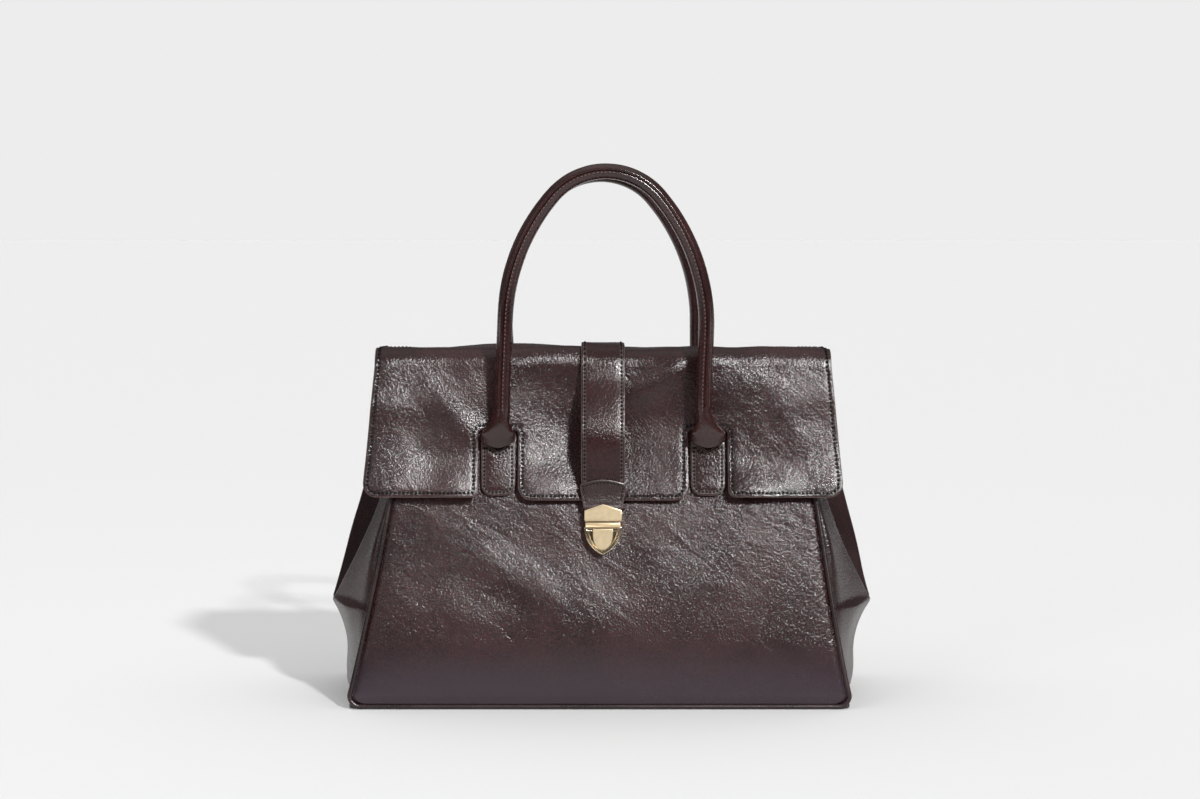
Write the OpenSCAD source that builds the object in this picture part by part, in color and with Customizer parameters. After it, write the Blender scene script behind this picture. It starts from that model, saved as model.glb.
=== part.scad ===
// Top handle bag: a satchel with folded gussets, a slotted flap, two rope-cored handles and a press lock.
// The front faces -Y, Z points up, and the origin is the middle of the base.

/* [Body] */
// Width of the front and back panels along the base
base_w = 360; // [320:1:400]
// Width of the front panel at the mouth
front_top_w = 270; // [240:1:290]
// Width of the back panel at the mouth
back_top_w = 300; // [280:1:310]
// Depth of the bag along the base
base_d = 160; // [130:1:190]
// Depth of the bag at the mouth
top_d = 94; // [84:1:104]
// Height of the panels above the ground
body_h = 250; // [245:1:260]
// Thickness of the front and back panels
panel_t = 2.5; // [1.8:0.1:3.5]
// Thickness of the base panel
base_t = 3; // [2:0.1:4]
// Radius of the panels' lower corners
panel_corner_r = 6; // [4:0.5:12]
// Diameter of the piping in the side and base seams
piping_d = 3.6; // [2.5:0.1:5]

/* [Gussets] */
// Thickness of the gusset leather
gusset_t = 2.2; // [1.5:0.1:3]
// Overall width of the bag across the gussets' outward tips
tip_w = 401; // [380:1:410]
// Height of the outward tips
tip_h = 70; // [60:1:100]
// How far the gussets sag outward over the base
sag_out = 13; // [0:0.5:15]
// Height over the base where they sag as far as that
sag_h = 18; // [10:1:30]
// How far the middle of each gusset is tucked in at the mouth, from the tip
tuck_d = 112; // [90:1:120]
// How far the front fold stands out past the front seam at the mouth
front_fold_out = 3; // [1:0.5:5]
// How far the back fold stands out past the back seam at the mouth
back_fold_out = 6; // [3:0.5:8]

/* [Inside] */
// Thickness of the base board
board_t = 2; // [1:0.1:3]
// Margin between the base board and the panels
board_margin = 5; // [4:0.5:10]
// Thickness of the lining cloth
lining_t = 0.8; // [0.6:0.1:1.2]
// Height of the leather facing round the mouth
facing_h = 35; // [20:1:45]
// Thickness of the facing
facing_t = 1.5; // [1:0.1:2]
// Width of the inner pocket
pocket_w = 150; // [100:1:180]
// Distance of the inner pocket's top edge below the facing
pocket_drop = 20; // [10:1:60]
// Height of the pocket's lower seam above the ground
pocket_z = 100; // [80:1:108]
// Thickness of the pocket cloth
pocket_t = 1; // [0.6:0.1:1.5]

/* [Flap] */
// Width of the flap along the top
flap_top_w = 327; // [316:1:332]
// Width of the flap along its lower edge
flap_low_w = 346; // [334:1:352]
// Height of the flap's underside above the mouth
flap_over = 4; // [3.5:0.5:6]
// Height of the lower edge of the flap's outer sections
flap_low_z = 150.5; // [148:0.5:158]
// Height of the lower edge of the flap's middle tongue
tongue_low_z = 148.5; // [146.5:0.5:152]
// Thickness of the flap leather
flap_t = 1.9; // [1.4:0.1:2.4]
// Thickness of the flap's inner leather
flap_lining_t = 1; // [0.6:0.1:1.2]
// Gap between the front panel and the flap
flap_gap = 1.6; // [1.5:0.1:2.2]
// Radius of the roll at the front of the flap, on its underside
roll_r = 7; // [5:0.5:8.5]
// Radius of the flap's lower corners
flap_corner_r = 10; // [6:0.5:14]
// Width of the slots that the handle tabs stand in
slot_w = 28.6; // [27.6:0.1:31]
// Height of the top of the slots
slot_top_z = 198.5; // [198:0.5:204]
// Margin by which the inner leather stays back from the flap's edges
flap_lining_margin = 1.2; // [0.6:0.1:3]
// Width of the band that sews the flap to the back panel
anchor_w = 292; // [260:1:296]
// Height of the lower edge of that band
anchor_low_z = 222; // [215:1:235]

/* [Strap] */
// Width of the centre strap
strap_w = 31.4; // [29:0.1:32]
// Thickness of the centre strap
strap_t = 2.6; // [2:0.1:3]
// Distance of the strap's rear end from the flap's hinge line
strap_rear = 6; // [4:0.5:20]
// Height of the strap's lower end
strap_low_z = 140; // [139.5:0.1:141]
// How far the strap bows off the flap between the top and the patch
strap_bow = 9; // [0:0.5:11]
// Width of the patch that caps the strap's end
patch_w = 33.8; // [32:0.1:37]
// Width of the patch at its lower end
patch_low_w = 27.8; // [27:0.1:30]
// Thickness of the patch
patch_t = 1.3; // [1:0.1:1.8]
// Height of the peak of the patch's arched top
patch_top_z = 163; // [160:0.5:166]
// Rise of that arch over its shoulders
patch_arch_h = 5; // [4:0.1:7]

/* [Handles] */
// Diameter of a handle
handle_d = 11.2; // [10.4:0.1:13]
// Diameter of the rope core
core_d = 7; // [5:0.1:7.2]
// Distance of the handles' straight legs from the middle of the bag
leg_x = 72; // [70:0.5:76]
// Radius of the handles' crown, along their middle
crown_r = 50; // [44:0.5:60]
// Radius of the long curves between the crown and the legs
side_r = 145; // [120:1:200]
// Height of the top of the handles
handle_top_z = 390; // [360:1:420]
// Distance of the handles' middle plane from the middle of the bag
handle_y = 68.5; // [68:0.1:70]
// Distance of the handle tabs from the middle of the bag
tab_x = 75.4; // [73:0.1:80]
// Width of a handle tab
tab_w = 24.6; // [22:0.1:25.6]
// Height of a tab's lower edge
tab_low_z = 152.5; // [148:0.5:160]
// Height of a tab's shoulders beside its notch
tab_top_z = 191.5; // [189:0.5:193]
// Depth of the V notch in a tab's top
notch_h = 8; // [6:0.1:9]
// Thickness of a tab
tab_t = 3; // [2:0.1:3.5]
// Radius of a tab's lower corners
tab_corner_r = 8; // [5:0.1:10]
// Width of a handle's flared end
bell_w = 25; // [24:0.1:26.6]
// Thickness of a flared end where it is sewn down
bell_t = 6; // [5:0.1:7]
// Height where a flared end is widest
bell_low_z = 197.5; // [196:0.5:199]
// Height where a handle starts to flare
bell_top_z = 216; // [214:0.5:222]
// Radius of the sewn seam that stands along a handle
seam_r = 1.1; // [0.8:0.1:1.5]

/* [Lock] */
// Height of the line where the hasp meets the lock case
lock_z = 133.5; // [132.5:0.1:134]
// Width of the hasp plate
hasp_w = 26.5; // [26:0.1:29]
// Height of the hasp plate at its peak
hasp_h = 12.3; // [12:0.1:13]
// Height of the hasp plate at its shoulders
hasp_shoulder_h = 7.8; // [7:0.1:9]
// Thickness of the hasp plate
hasp_t = 1.8; // [1.4:0.1:2.2]
// Width of the bar across the top of the lock case
bar_w = 25; // [24:0.1:26]
// Height of that bar
bar_h = 4.2; // [3.8:0.1:4.6]
// Width of the shield-shaped lock case
shield_w = 26.4; // [26:0.1:28]
// Height of the shield below the bar
shield_h = 19.6; // [19:0.1:21]
// Distance of the lock case's front from the front panel
case_out = 9; // [8.6:0.1:9.4]
// Thickness of the lock case's wall
case_wall = 1.5; // [1.3:0.1:1.8]
// Height of the part of the case that lies behind the hasp
keep_h = 5; // [4.6:0.1:5.4]
// Width of the button
button_w = 14; // [13:0.1:14.4]
// Height of the button
button_h = 15; // [14:0.1:15.2]
// Travel of the button
button_travel = 1.8; // [1.2:0.1:2]
// Width of the staple on the back of the hasp
staple_w = 8; // [6:0.1:9]
// Height of the staple
staple_h = 3.6; // [3:0.1:4]

/* [Hidden] */

// Leather and metal colours
leather = [0.28, 0.19, 0.20];
leather_dark = [0.22, 0.15, 0.16];
cloth = [0.34, 0.29, 0.27];
board = [0.55, 0.47, 0.38];
rope = [0.80, 0.76, 0.68];
gold = [0.86, 0.77, 0.60];
steel = [0.72, 0.73, 0.75];

// Clearance between pieces that are sewn or riveted face to face
seat = 0.1;
// Clearance between pieces that move past each other
clear = 0.3;
// Clearance that lets the flap rise behind the handle's flared ends
swing_gap = 1.6;
// How far every cut runs past the faces that it opens
overrun = 4;
// Gap between the lining and the leather behind it
lining_gap = 0.4;
// Further room that the loose lining leaves in the folds of the gussets
lining_slack = 1;

// Curves of the body, as powers of the height's share
depth_power_share = 1.3;
width_power_share = 0.85;
// Powers that draw the gusset's folds from the tip to the mouth
swell_power_share = 3;
front_fold_power_share = 2.8;
back_fold_power_share = 0.85;
spread_power_share = 2.5;
tuck_power_share = 0.5;
row_power_share = 1.6;
// Where the folds lie across the gusset: at the base, at the tip and at the mouth
fold_base_share = 0.25;
fold_tip_share = 0.44;
fold_mouth_share = 0.08;

// Height of the flap's underside, and how far its leather lies above it
flap_z = body_h + flap_over;
flap_off = flap_lining_t + seat;

// How far back from the panel's face the piping lies, as a share of its radius
pipe_set_share = 0.4;

row_count = 12;
low_row_count = 8;
arc_count = 6;
tube_side_count = 8;
bell_side_count = 24;
handle_side_count = 16;
crown_count = 5;
side_count = 4;
leg_count = 2;

// Where the sewn seam stands on a handle, turned from its outer side to the front, and half its spread
seam_turn = 62;
seam_half_turn = 12;
// How far the flap turns round its roll, a little past straight down
roll_turn = 95;

function lerp(a, b, share) = a + (b - a) * share;
function unit(v) = v / norm(v);
function rows(z0, z1, count) = [for (i = [0:count]) lerp(z0, z1, i / count)];
function flip(list) = [for (i = [len(list) - 1:-1:0]) list[i]];
function across(list) = [for (p = flip(list)) [-p[0], p[1]]];

// Half depth and half width of the body at a height
function climb(z) = max(0, min(1, z / body_h));
function half_d(z) = lerp(base_d, top_d, pow(climb(z), depth_power_share)) / 2;
function half_w(z, top_w) = lerp(base_w, top_w, pow(climb(z), width_power_share)) / 2;

// One rounded corner at b on the way from a to c
function corner(a, b, c, r) =
    let (u = unit(a - b), v = unit(c - b), half = acos(u * v) / 2)
    let (middle = b + unit(u + v) * r / sin(half), from = b + u * r / tan(half) - middle)
    let (to = b + v * r / tan(half) - middle, start = atan2(from[1], from[0]))
    let (turn = (atan2(to[1], to[0]) - start + 540) % 360 - 180)
    [for (i = [0:arc_count]) let (t = start + turn * i / arc_count) middle + r * [cos(t), sin(t)]];

// Outline through points [x, z, r], each with its own corner radius
function rounded(list) =
    let (n = len(list), flat = [for (p = list) [p[0], p[1]]])
    [for (i = [0:n - 1]) each list[i][2] > 0
        ? corner(flat[(i + n - 1) % n], flat[i], flat[(i + 1) % n], list[i][2])
        : [flat[i]]];

// Faces across a ring of n points, laddered from its first half to its second
function ring_cap(n, first) = [for (i = [0:n / 2 - 2])
    each [[i, i + 1, n - 2 - i] + first * [1, 1, 1], [i, n - 2 - i, n - 1 - i] + first * [1, 1, 1]]];

// Solid through rings of points, each side split along its shorter diagonal, so that the two faces
// of a thin wall stay alike; a closed one joins its last ring to its first
module loft(rings, closed = false) {
    points = [for (r = rings) each r];
    n = len(rings[0]);
    last = len(rings) - 1;
    spans = closed ? last : last - 1;
    sides = [for (k = [0:spans], i = [0:n - 1])
        let (a = k * n + i, b = k * n + (i + 1) % n)
        let (c = (k + 1) % (last + 1) * n + (i + 1) % n, d = (k + 1) % (last + 1) * n + i)
        each norm(points[a] - points[c]) < norm(points[b] - points[d])
            ? [[a, c, b], [a, d, c]]
            : [[a, d, b], [b, d, c]]];
    foot = closed ? [] : ring_cap(n, 0);
    head = closed ? [] : [for (f = ring_cap(n, last * n)) flip(f)];
    polyhedron(points = points, faces = concat(sides, foot, head));
}

// Slab that follows the front panel's face, from near to far in front of it
module face_slab(z0, z1, near, far, w) {
    zs = rows(z0, z1, row_count);
    rotate([90, 0, 90]) linear_extrude(w, center = true)
        polygon(concat(
            [for (z = zs) [-half_d(z) - near, z]],
            [for (z = flip(zs)) [-half_d(z) - far, z]]));
}

// Front outline, drawn in X and Z, cut through the whole depth
module front_cut(points) {
    rotate([90, 0, 0]) linear_extrude(base_d + 2 * overrun, center = true) polygon(points);
}

// Panels and base: the panels' lower edge stands clear of the base for the piping
pipe_r = piping_d / 2;
panel_low_z = piping_d + 2 * seat;
pipe_set = pipe_r * pipe_set_share;
function panel_outline(top_w) =
    let (r = panel_corner_r, z0 = panel_low_z)
    let (side = [for (z = rows(z0 + r, body_h, row_count)) [half_w(z, top_w), z]])
    let (low = corner([0, z0], [side[0][0], z0], side[0] + [0, overrun], r))
    concat(low, side, across(side), across(low));

module panel(top_w) {
    intersection() {
        face_slab(panel_low_z, body_h, -panel_t, 0, base_w);
        front_cut(panel_outline(top_w));
    }
}

module front_panel() {
    color(leather) difference() {
        panel(front_top_w);
        at_lock() stud_holes(lock_studs);
    }
}

module back_panel() { color(leather) mirror([0, 1, 0]) panel(back_top_w); }

module base_panel() {
    x = base_w / 2;
    y = base_d / 2 - pipe_set - pipe_r - seat;
    r = panel_corner_r;
    color(leather_dark) linear_extrude(base_t)
        polygon(rounded([[x, y, r], [-x, y, r], [-x, -y, r], [x, -y, r]]));
}

// Gusset: outer face across the bag at a height, from the front seam to the back seam
tip_mid = lerp(half_w(tip_h, front_top_w), half_w(tip_h, back_top_w), 0.5);
swell = tip_w / 2 - tip_mid;
function fold_place(z) = z < tip_h
    ? lerp(fold_base_share, fold_tip_share, z / tip_h)
    : lerp(fold_mouth_share, fold_tip_share, pow(1 - rise(z), spread_power_share));
function rise(z) = max(0, (z - tip_h) / (body_h - tip_h));
function edge_x(z, share) = lerp(half_w(z, front_top_w), half_w(z, back_top_w), share);
function sag(z) = let (share = max(0, min(1, (z - base_t - seat) / sag_h))) sag_out * share * (2 - share);
function low_x(z, share) =
    edge_x(z, share) + lerp(sag(z), swell, pow(z / tip_h, swell_power_share)) * sin(180 * share);
function fold_x(z, share, out, power) =
    edge_x(z, share) + lerp(out, swell * sin(180 * fold_tip_share), pow(1 - rise(z), power));
function middle_x(z) = tip_w / 2 - tuck_d * pow(rise(z), tuck_power_share);
function high_xs(z, f) =
    let (front = fold_x(z, f, front_fold_out, front_fold_power_share))
    let (back = fold_x(z, 1 - f, back_fold_out, back_fold_power_share), mid = middle_x(z))
    [edge_x(z, 0), lerp(edge_x(z, 0), front, 0.5), front, lerp(front, mid, 0.5), mid,
        lerp(mid, back, 0.5), back, lerp(back, edge_x(z, 1), 0.5), edge_x(z, 1)];
function gusset_line(z) =
    let (f = fold_place(z), half = half_d(z) - panel_t - seat)
    let (places = [0, f / 2, f, (f + 0.5) / 2, 0.5, 1 - (f + 0.5) / 2, 1 - f, 1 - f / 2, 1])
    let (xs = z <= tip_h ? [for (s = places) low_x(z, s)] : high_xs(z, f))
    [for (i = [0:len(places) - 1]) [xs[i], lerp(-half, half, places[i])]];
function lift(line, z) = [for (p = line) [p[0], p[1], z]];
function inward(line, dx) = [for (p = line) [p[0] - dx, p[1]]];

// Heights of the gusset's rings, closest above the tip where its folds are sharpest
gusset_zs = concat(rows(base_t + seat, tip_h, low_row_count),
    [for (i = [1:row_count]) lerp(tip_h, body_h, pow(i / row_count, row_power_share))]);

module gusset() {
    loft([for (z = gusset_zs)
        let (line = gusset_line(z)) lift(concat(line, flip(inward(line, gusset_t))), z)]);
}

module gusset_right() { color(leather_dark) gusset(); }
module gusset_left() { color(leather_dark) mirror([1, 0, 0]) gusset(); }

// Piping: a round cord round each panel's edge, in its side and base seams
function pipe_at(x, z) = [x, -half_d(z) + pipe_set, z];
function pipe_route(top_w) =
    let (r = panel_corner_r, side = rows(panel_low_z + r, body_h - pipe_r, row_count), out = pipe_r + seat)
    let (foot = [half_w(side[0], top_w) + out, panel_low_z - out])
    let (low = corner([foot[0], side[0]], foot, [0, foot[1]], r))
    let (half = concat([for (z = flip(side)) pipe_at(half_w(z, top_w) + out, z)],
        [for (p = low) if (p[1] < side[0] - seat) pipe_at(p[0], p[1])]))
    concat(half, [for (p = flip(half)) [-p[0], p[1], p[2]]]);
function pipe_ring(p, along) =
    let (u = unit(cross(along, [0, 1, 0])), v = unit(cross(along, u)))
    [for (i = [0:tube_side_count - 1])
        let (a = 360 * i / tube_side_count) p + pipe_r * (cos(a) * u + sin(a) * v)];

module piping(top_w) {
    route = pipe_route(top_w);
    n = len(route) - 1;
    loft([for (i = [0:n]) pipe_ring(route[i], route[min(i + 1, n)] - route[max(i - 1, 0)])]);
}

module front_piping() { color(leather_dark) piping(front_top_w); }
module back_piping() { color(leather_dark) mirror([0, 1, 0]) piping(back_top_w); }

// Base board, lining, facing and pocket
board_z = base_t + seat;
floor_z = board_z + board_t + lining_gap;

module base_board() {
    x = base_w / 2 - gusset_t - board_margin;
    y = base_d / 2 - panel_t - board_margin;
    r = board_margin;
    color(board) translate([0, 0, board_z]) linear_extrude(board_t)
        polygon(rounded([[x, y, r], [-x, y, r], [-x, -y, r], [x, -y, r]]));
}

// Ring round the inside of the bag at a height, drawn in from the leather
function inside_line(z, inset) =
    let (line = inward(gusset_line(z), gusset_t + lining_slack + inset))
    let (half = half_d(z) - panel_t - seat - inset)
    let (side = [for (p = line) [p[0], max(-half, min(half, p[1]))]])
    concat(side, [for (p = flip(side)) [-p[0], p[1]]]);
function inside_rings(zs, inset) = [for (z = zs) lift(inside_line(z, inset), z)];

facing_z = body_h - facing_h;
lining_top_z = facing_z - seat;
lining_zs = concat([for (z = gusset_zs) if (z > floor_z + lining_t && z < lining_top_z) z], [lining_top_z]);

module lining() {
    outer = inside_rings(concat([floor_z], lining_zs), lining_gap);
    inner = inside_rings(flip(concat([floor_z + lining_t], lining_zs)), lining_gap + lining_t);
    color(cloth) difference() {
        loft(concat(outer, inner));
        at_lock() stud_holes(lock_studs);
    }
}

module mouth_facing() {
    zs = rows(facing_z, body_h, low_row_count);
    inner = inside_rings(flip(zs), lining_gap + facing_t);
    color(leather_dark) loft(concat(inside_rings(zs, lining_gap), inner), closed = true);
}

module inner_pocket() {
    near = panel_t + seat + lining_gap + lining_t + clear;
    x = pocket_w / 2;
    z1 = facing_z - pocket_drop;
    r = panel_corner_r;
    color(cloth) mirror([0, 1, 0]) intersection() {
        face_slab(pocket_z, z1, -near - pocket_t, -near, pocket_w);
        front_cut(rounded([[x, z1, 0], [-x, z1, 0], [-x, pocket_z, r], [x, pocket_z, r]]));
    }
}

// Handle tabs, with a notch that the handle's flared end stands in
function tab_outline(x0) =
    let (h = tab_w / 2)
    rounded([[x0 + h, tab_top_z, 0], [x0, tab_top_z - notch_h, 0], [x0 - h, tab_top_z, 0],
        [x0 - h, tab_low_z, tab_corner_r], [x0 + h, tab_low_z, tab_corner_r]]);

module tab(x0) {
    color(leather) intersection() {
        face_slab(tab_low_z, tab_top_z, seat, seat + tab_t, 2 * (tab_x + tab_w));
        front_cut(tab_outline(x0));
    }
}

module front_tab_left() { tab(-tab_x); }
module front_tab_right() { tab(tab_x); }
module back_tab_left() { mirror([0, 1, 0]) tab(-tab_x); }
module back_tab_right() { mirror([0, 1, 0]) tab(tab_x); }

// Handles: a round crown, two long side curves tangent to it and straight legs
handle_r = handle_d / 2;
crown_z = handle_top_z - handle_r - crown_r;
side_turn = acos((side_r - leg_x) / (side_r - crown_r));
leg_top_z = crown_z - (side_r - crown_r) * sin(side_turn);

// Right half of a handle from its foot to its crown: [x, z, turn of its outer side from +X]
function half_route() = concat(
    [for (z = rows(bell_top_z + seat, leg_top_z, leg_count)) [leg_x, z, 0]],
    [for (i = [1:side_count]) let (a = side_turn * i / side_count)
        [leg_x - side_r + side_r * cos(a), leg_top_z + side_r * sin(a), a]],
    [for (i = [1:crown_count]) let (a = lerp(side_turn, 90, i / crown_count))
        [crown_r * cos(a), crown_z + crown_r * sin(a), a]]);
function handle_route() = concat([for (p = half_route()) [-p[0], p[1], 180 - p[2]]],
    [for (p = flip(half_route())) if (p[2] < 90) p]);

// Round section of n sides from its outer side to the front, with one ridge for the sewn seam
function handle_section(r, ridge) = [for (i = [0:handle_side_count - 1])
    let (share = (i - 1) / (handle_side_count - 2))
    let (a = seam_turn + (i == 0 ? 0 : lerp(seam_half_turn, 360 - seam_half_turn, share)))
    (i == 0 ? r + ridge : r) * [cos(a), sin(a)]];
function swept(section) = [for (p = handle_route()) [for (q = section)
    [p[0] + q[0] * cos(p[2]), -handle_y - q[1], p[1] + q[0] * sin(p[2])]]];

module handle() {
    bore = swept(handle_section(core_d / 2 + clear, 0));
    color(leather) loft(concat(swept(handle_section(handle_r, seam_r)), flip(bore)), closed = true);
}

module handle_core() { color(rope) loft(swept(handle_section(core_d / 2, 0))); }

// Flared end: round at the leg, wide and flat where it is sewn down, with a V point in the tab's notch
bell_shares = [0, 0.35, 0.62, 0.84, 1];
bell_width_shares = [0, 0.08, 0.28, 0.64, 1];
bell_back = flap_gap + flap_off + flap_t + swing_gap;
function bell_y(z) = -half_d(z) - bell_back;
function bell_ring(share, wide) =
    let (z = lerp(bell_top_z, bell_low_z, share), low_y = bell_y(bell_low_z) - bell_t / 2)
    let (a = lerp(handle_r, bell_w / 2, wide), b = lerp(handle_r, bell_t / 2, wide))
    let (x = lerp(leg_x, tab_x, share), y = lerp(-handle_y, low_y, share))
    let (round_power_share = lerp(1, 0.5, wide))
    [for (i = [0:bell_side_count - 1])
        let (t = 360 * i / bell_side_count, c = cos(t), s = sin(t))
        [x + a * sign(c) * pow(abs(c), round_power_share),
            y + b * sign(s) * pow(abs(s), round_power_share), z]];
function bell_rings() =
    [for (k = [len(bell_shares) - 1:-1:0]) bell_ring(bell_shares[k], bell_width_shares[k])];

module bell_point() {
    h = bell_w / 2;
    side = tab_top_z + clear;
    y = bell_y(bell_low_z);
    translate([tab_x, y, 0]) rotate([90, 0, 0]) linear_extrude(bell_t)
        polygon([[h, bell_low_z], [-h, bell_low_z], [-h, side], [0, side - notch_h], [h, side]]);
}

module handle_ends() {
    color(leather_dark) for (side = [0, 1]) mirror([side, 0, 0]) {
        loft(bell_rings());
        bell_point();
    }
}

module front_handle() { handle(); }
module front_handle_core() { handle_core(); }
module front_handle_ends() { handle_ends(); }
module back_handle() { mirror([0, 1, 0]) handle(); }
module back_handle_core() { mirror([0, 1, 0]) handle_core(); }
module back_handle_ends() { mirror([0, 1, 0]) handle_ends(); }

// Flap: a sheet draped over the mouth, from its hinge line at the back to its lower edge at the front
hinge_y = half_d(body_h) + seat + flap_t / 2;
hinge_z = flap_z + flap_off + flap_t / 2;

// How far a strap stands off the flap at a height, from the patch up to the roll
function bowed(z, bow) =
    let (share = (z - patch_top_z) / (flap_z - roll_r - patch_top_z))
    share > 0 && share < 1 ? bow * pow(sin(180 * share), 2) : 0;

// Line over the top and down the front, off the flap's underside by off
function drape(off, y_rear, z_low, bow) =
    let (y0 = -half_d(flap_z - roll_r) - flap_gap + roll_r, z0 = flap_z - roll_r)
    let (turns = [for (i = [0:arc_count]) 90 + roll_turn * i / arc_count])
    concat([[y_rear, flap_z + off]],
        [for (a = turns) [y0, z0] + (roll_r + off) * [cos(a), sin(a)]],
        [for (z = rows(z0 - roll_r, z_low, 2 * row_count))
            [-half_d(z) - flap_gap - off - bowed(z, bow), z]]);

module draped(near, far, y_rear, z_low, w, bow = 0) {
    rotate([90, 0, 90]) linear_extrude(w, center = true)
        polygon(concat(drape(near, y_rear, z_low, bow), flip(drape(far, y_rear, z_low, bow))));
}

function flap_outline(m) =
    let (top = flap_z + flap_off + flap_t + overrun, r = flap_corner_r - m, slot_r = tab_t)
    let (s0 = tab_x - slot_w / 2 - m, s1 = tab_x + slot_w / 2 + m)
    let (half = [[flap_top_w / 2 - m, top, 0], [flap_low_w / 2 - m, flap_low_z + m, r],
        [s1, flap_low_z + m, r / 2], [s1, slot_top_z + m, slot_r], [s0, slot_top_z + m, slot_r],
        [s0, tongue_low_z + m, r]])
    rounded(concat(half, [for (p = flip(half)) [-p[0], p[1], p[2]]]));

module flap() {
    color(leather) {
        intersection() {
            draped(flap_off, flap_off + flap_t, hinge_y, tongue_low_z, flap_low_w);
            front_cut(flap_outline(0));
        }
        translate([0, hinge_y, hinge_z]) rotate([0, 90, 0])
            cylinder(d = flap_t, h = flap_top_w, center = true, $fn = 24);
    }
}

module flap_lining() {
    m = flap_lining_margin;
    color(leather_dark) intersection() {
        draped(0, flap_lining_t, hinge_y - flap_t, tongue_low_z, flap_low_w);
        front_cut(flap_outline(m));
    }
}

// Band of the flap that is sewn to the back panel and carries the hinge line
module flap_anchor() {
    top = hinge_z - flap_t / 2 - clear;
    zs = rows(anchor_low_z, body_h, low_row_count);
    y0 = half_d(body_h) + seat;
    color(leather) rotate([90, 0, 90]) linear_extrude(anchor_w, center = true)
        polygon(concat([for (z = zs) [half_d(z) + seat, z]], [[y0, top], [y0 + flap_t, top]],
            [for (z = flip(zs)) [half_d(z) + seat + flap_t, z]]));
}

// Centre strap with the patch that caps its end
strap_off = flap_off + flap_t + clear;
strap_face = flap_gap + strap_off + strap_t;
strap_end_w = patch_low_w - 2 * patch_t;

module centre_strap() {
    h = strap_w / 2;
    e = strap_end_w / 2;
    top = flap_z + strap_off + strap_t + overrun;
    color(leather) difference() {
        intersection() {
            draped(strap_off, strap_off + strap_t, hinge_y - strap_rear, strap_low_z, strap_w, strap_bow);
            front_cut(rounded([[h, top, 0], [-h, top, 0], [-h, patch_top_z, 0],
                [-e, strap_low_z, patch_t], [e, strap_low_z, patch_t], [h, patch_top_z, 0]]));
        }
        at_lock() stud_holes(hasp_studs);
    }
}

module lock_patch() {
    h = patch_w / 2;
    e = patch_low_w / 2;
    shoulder = patch_top_z - patch_arch_h;
    low = lock_z + hasp_shoulder_h * cos(lock_tilt) + (hasp_near + hasp_t) * sin(lock_tilt) + 3 * clear;
    turns = [for (i = [0:2 * arc_count]) 180 * i / (2 * arc_count)];
    arch = [for (a = turns) [h * cos(a), shoulder + patch_arch_h * sin(a)]];
    color(leather_dark) difference() {
        intersection() {
            face_slab(low, patch_top_z, strap_face + seat, strap_face + seat + patch_t, patch_w);
            front_cut(concat(arch, [[-e, low], [e, low]]));
        }
        at_lock() plate(strap_off, strap_face + hasp_near) translate([0, 2 * clear]) polygon(hasp_outline);
    }
}

// Press lock, drawn flat with its back at Y = 0 and its front towards -Y, then laid on the front panel
lock_h = bar_h + shield_h + keep_h;
lock_tilt = atan((half_d(lock_z + keep_h - lock_h) - half_d(lock_z + keep_h)) / lock_h);
stud_d = 2.4;
lock_studs = [[-hasp_w / 3, keep_h / 2], [hasp_w / 3, keep_h / 2]];
hasp_studs = [[-hasp_w / 4, hasp_h - hasp_shoulder_h / 2], [hasp_w / 4, hasp_h - hasp_shoulder_h / 2]];

module at_lock() { translate([0, -half_d(lock_z), lock_z]) rotate([-lock_tilt, 0, 0]) children(); }

// Plate of a front outline, from near to far in front of the panel
module plate(near, far) {
    translate([0, -near, 0]) rotate([90, 0, 0]) linear_extrude(far - near) children();
}

module stud_holes(places) {
    for (p = places) translate([p[0], 0, p[1]]) rotate([90, 0, 0])
        cylinder(d = stud_d + 2 * seat, h = 2 * case_out + overrun, center = true, $fn = 24);
}

module studs(places, near, far) {
    for (p = places) translate([p[0], -near, p[1]]) rotate([90, 0, 0])
        cylinder(d = stud_d, h = far - near, $fn = 24);
}

// Shield: two arcs that meet in a point below
module shield_shape(inset) {
    w = shield_w / 2;
    r = (shield_h * shield_h + w * w) / (2 * w);
    translate([0, -bar_h]) intersection() {
        translate([w - r, 0]) circle(r = r - inset, $fn = 96);
        translate([r - w, 0]) circle(r = r - inset, $fn = 96);
        translate([-w, -shield_h]) square([shield_w, shield_h - inset]);
    }
}

module tongue_shape(grow) {
    h = button_w / 2;
    translate([0, -bar_h - button_top]) {
        translate([0, h - button_h]) circle(r = h + grow, $fn = 48);
        translate([-h - grow, h - button_h]) square([button_w + 2 * grow, button_h - h + grow]);
    }
}

button_top = 1.2;
button_flange = 0.7;
rim_step = 0.7;
rim_inset = 1.6;
latch_t = 0.6;
// How far the staple reaches into the case, and the front of the case's part behind the hasp
staple_in = staple_h + 2 * latch_t;
keep_out = strap_face - seat;
latch_near = keep_out - staple_in + clear;
// Front end of the room behind the case's face, and of the button's flange in it
room_out = case_out - 2 * rim_step - case_wall;
flange_far = room_out - seat;

module lock_case() {
    color(gold) at_lock() difference() {
        union() {
            plate(seat, case_out - 2 * rim_step) shield_shape(0);
            plate(seat, case_out - rim_step) shield_shape(rim_inset / 2);
            plate(seat, case_out) shield_shape(rim_inset);
            plate(seat, case_out) translate([-bar_w / 2, -bar_h]) square([bar_w, bar_h]);
            plate(seat, keep_out) translate([-bar_w / 2, 0]) square([bar_w, keep_h]);
        }
        plate(-overrun, room_out) shield_shape(case_wall);
        plate(-overrun, room_out) tongue_shape(button_flange + clear);
        plate(-overrun, case_out + overrun) tongue_shape(seat);
        staple_room();
        stud_holes(lock_studs);
    }
}

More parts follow.
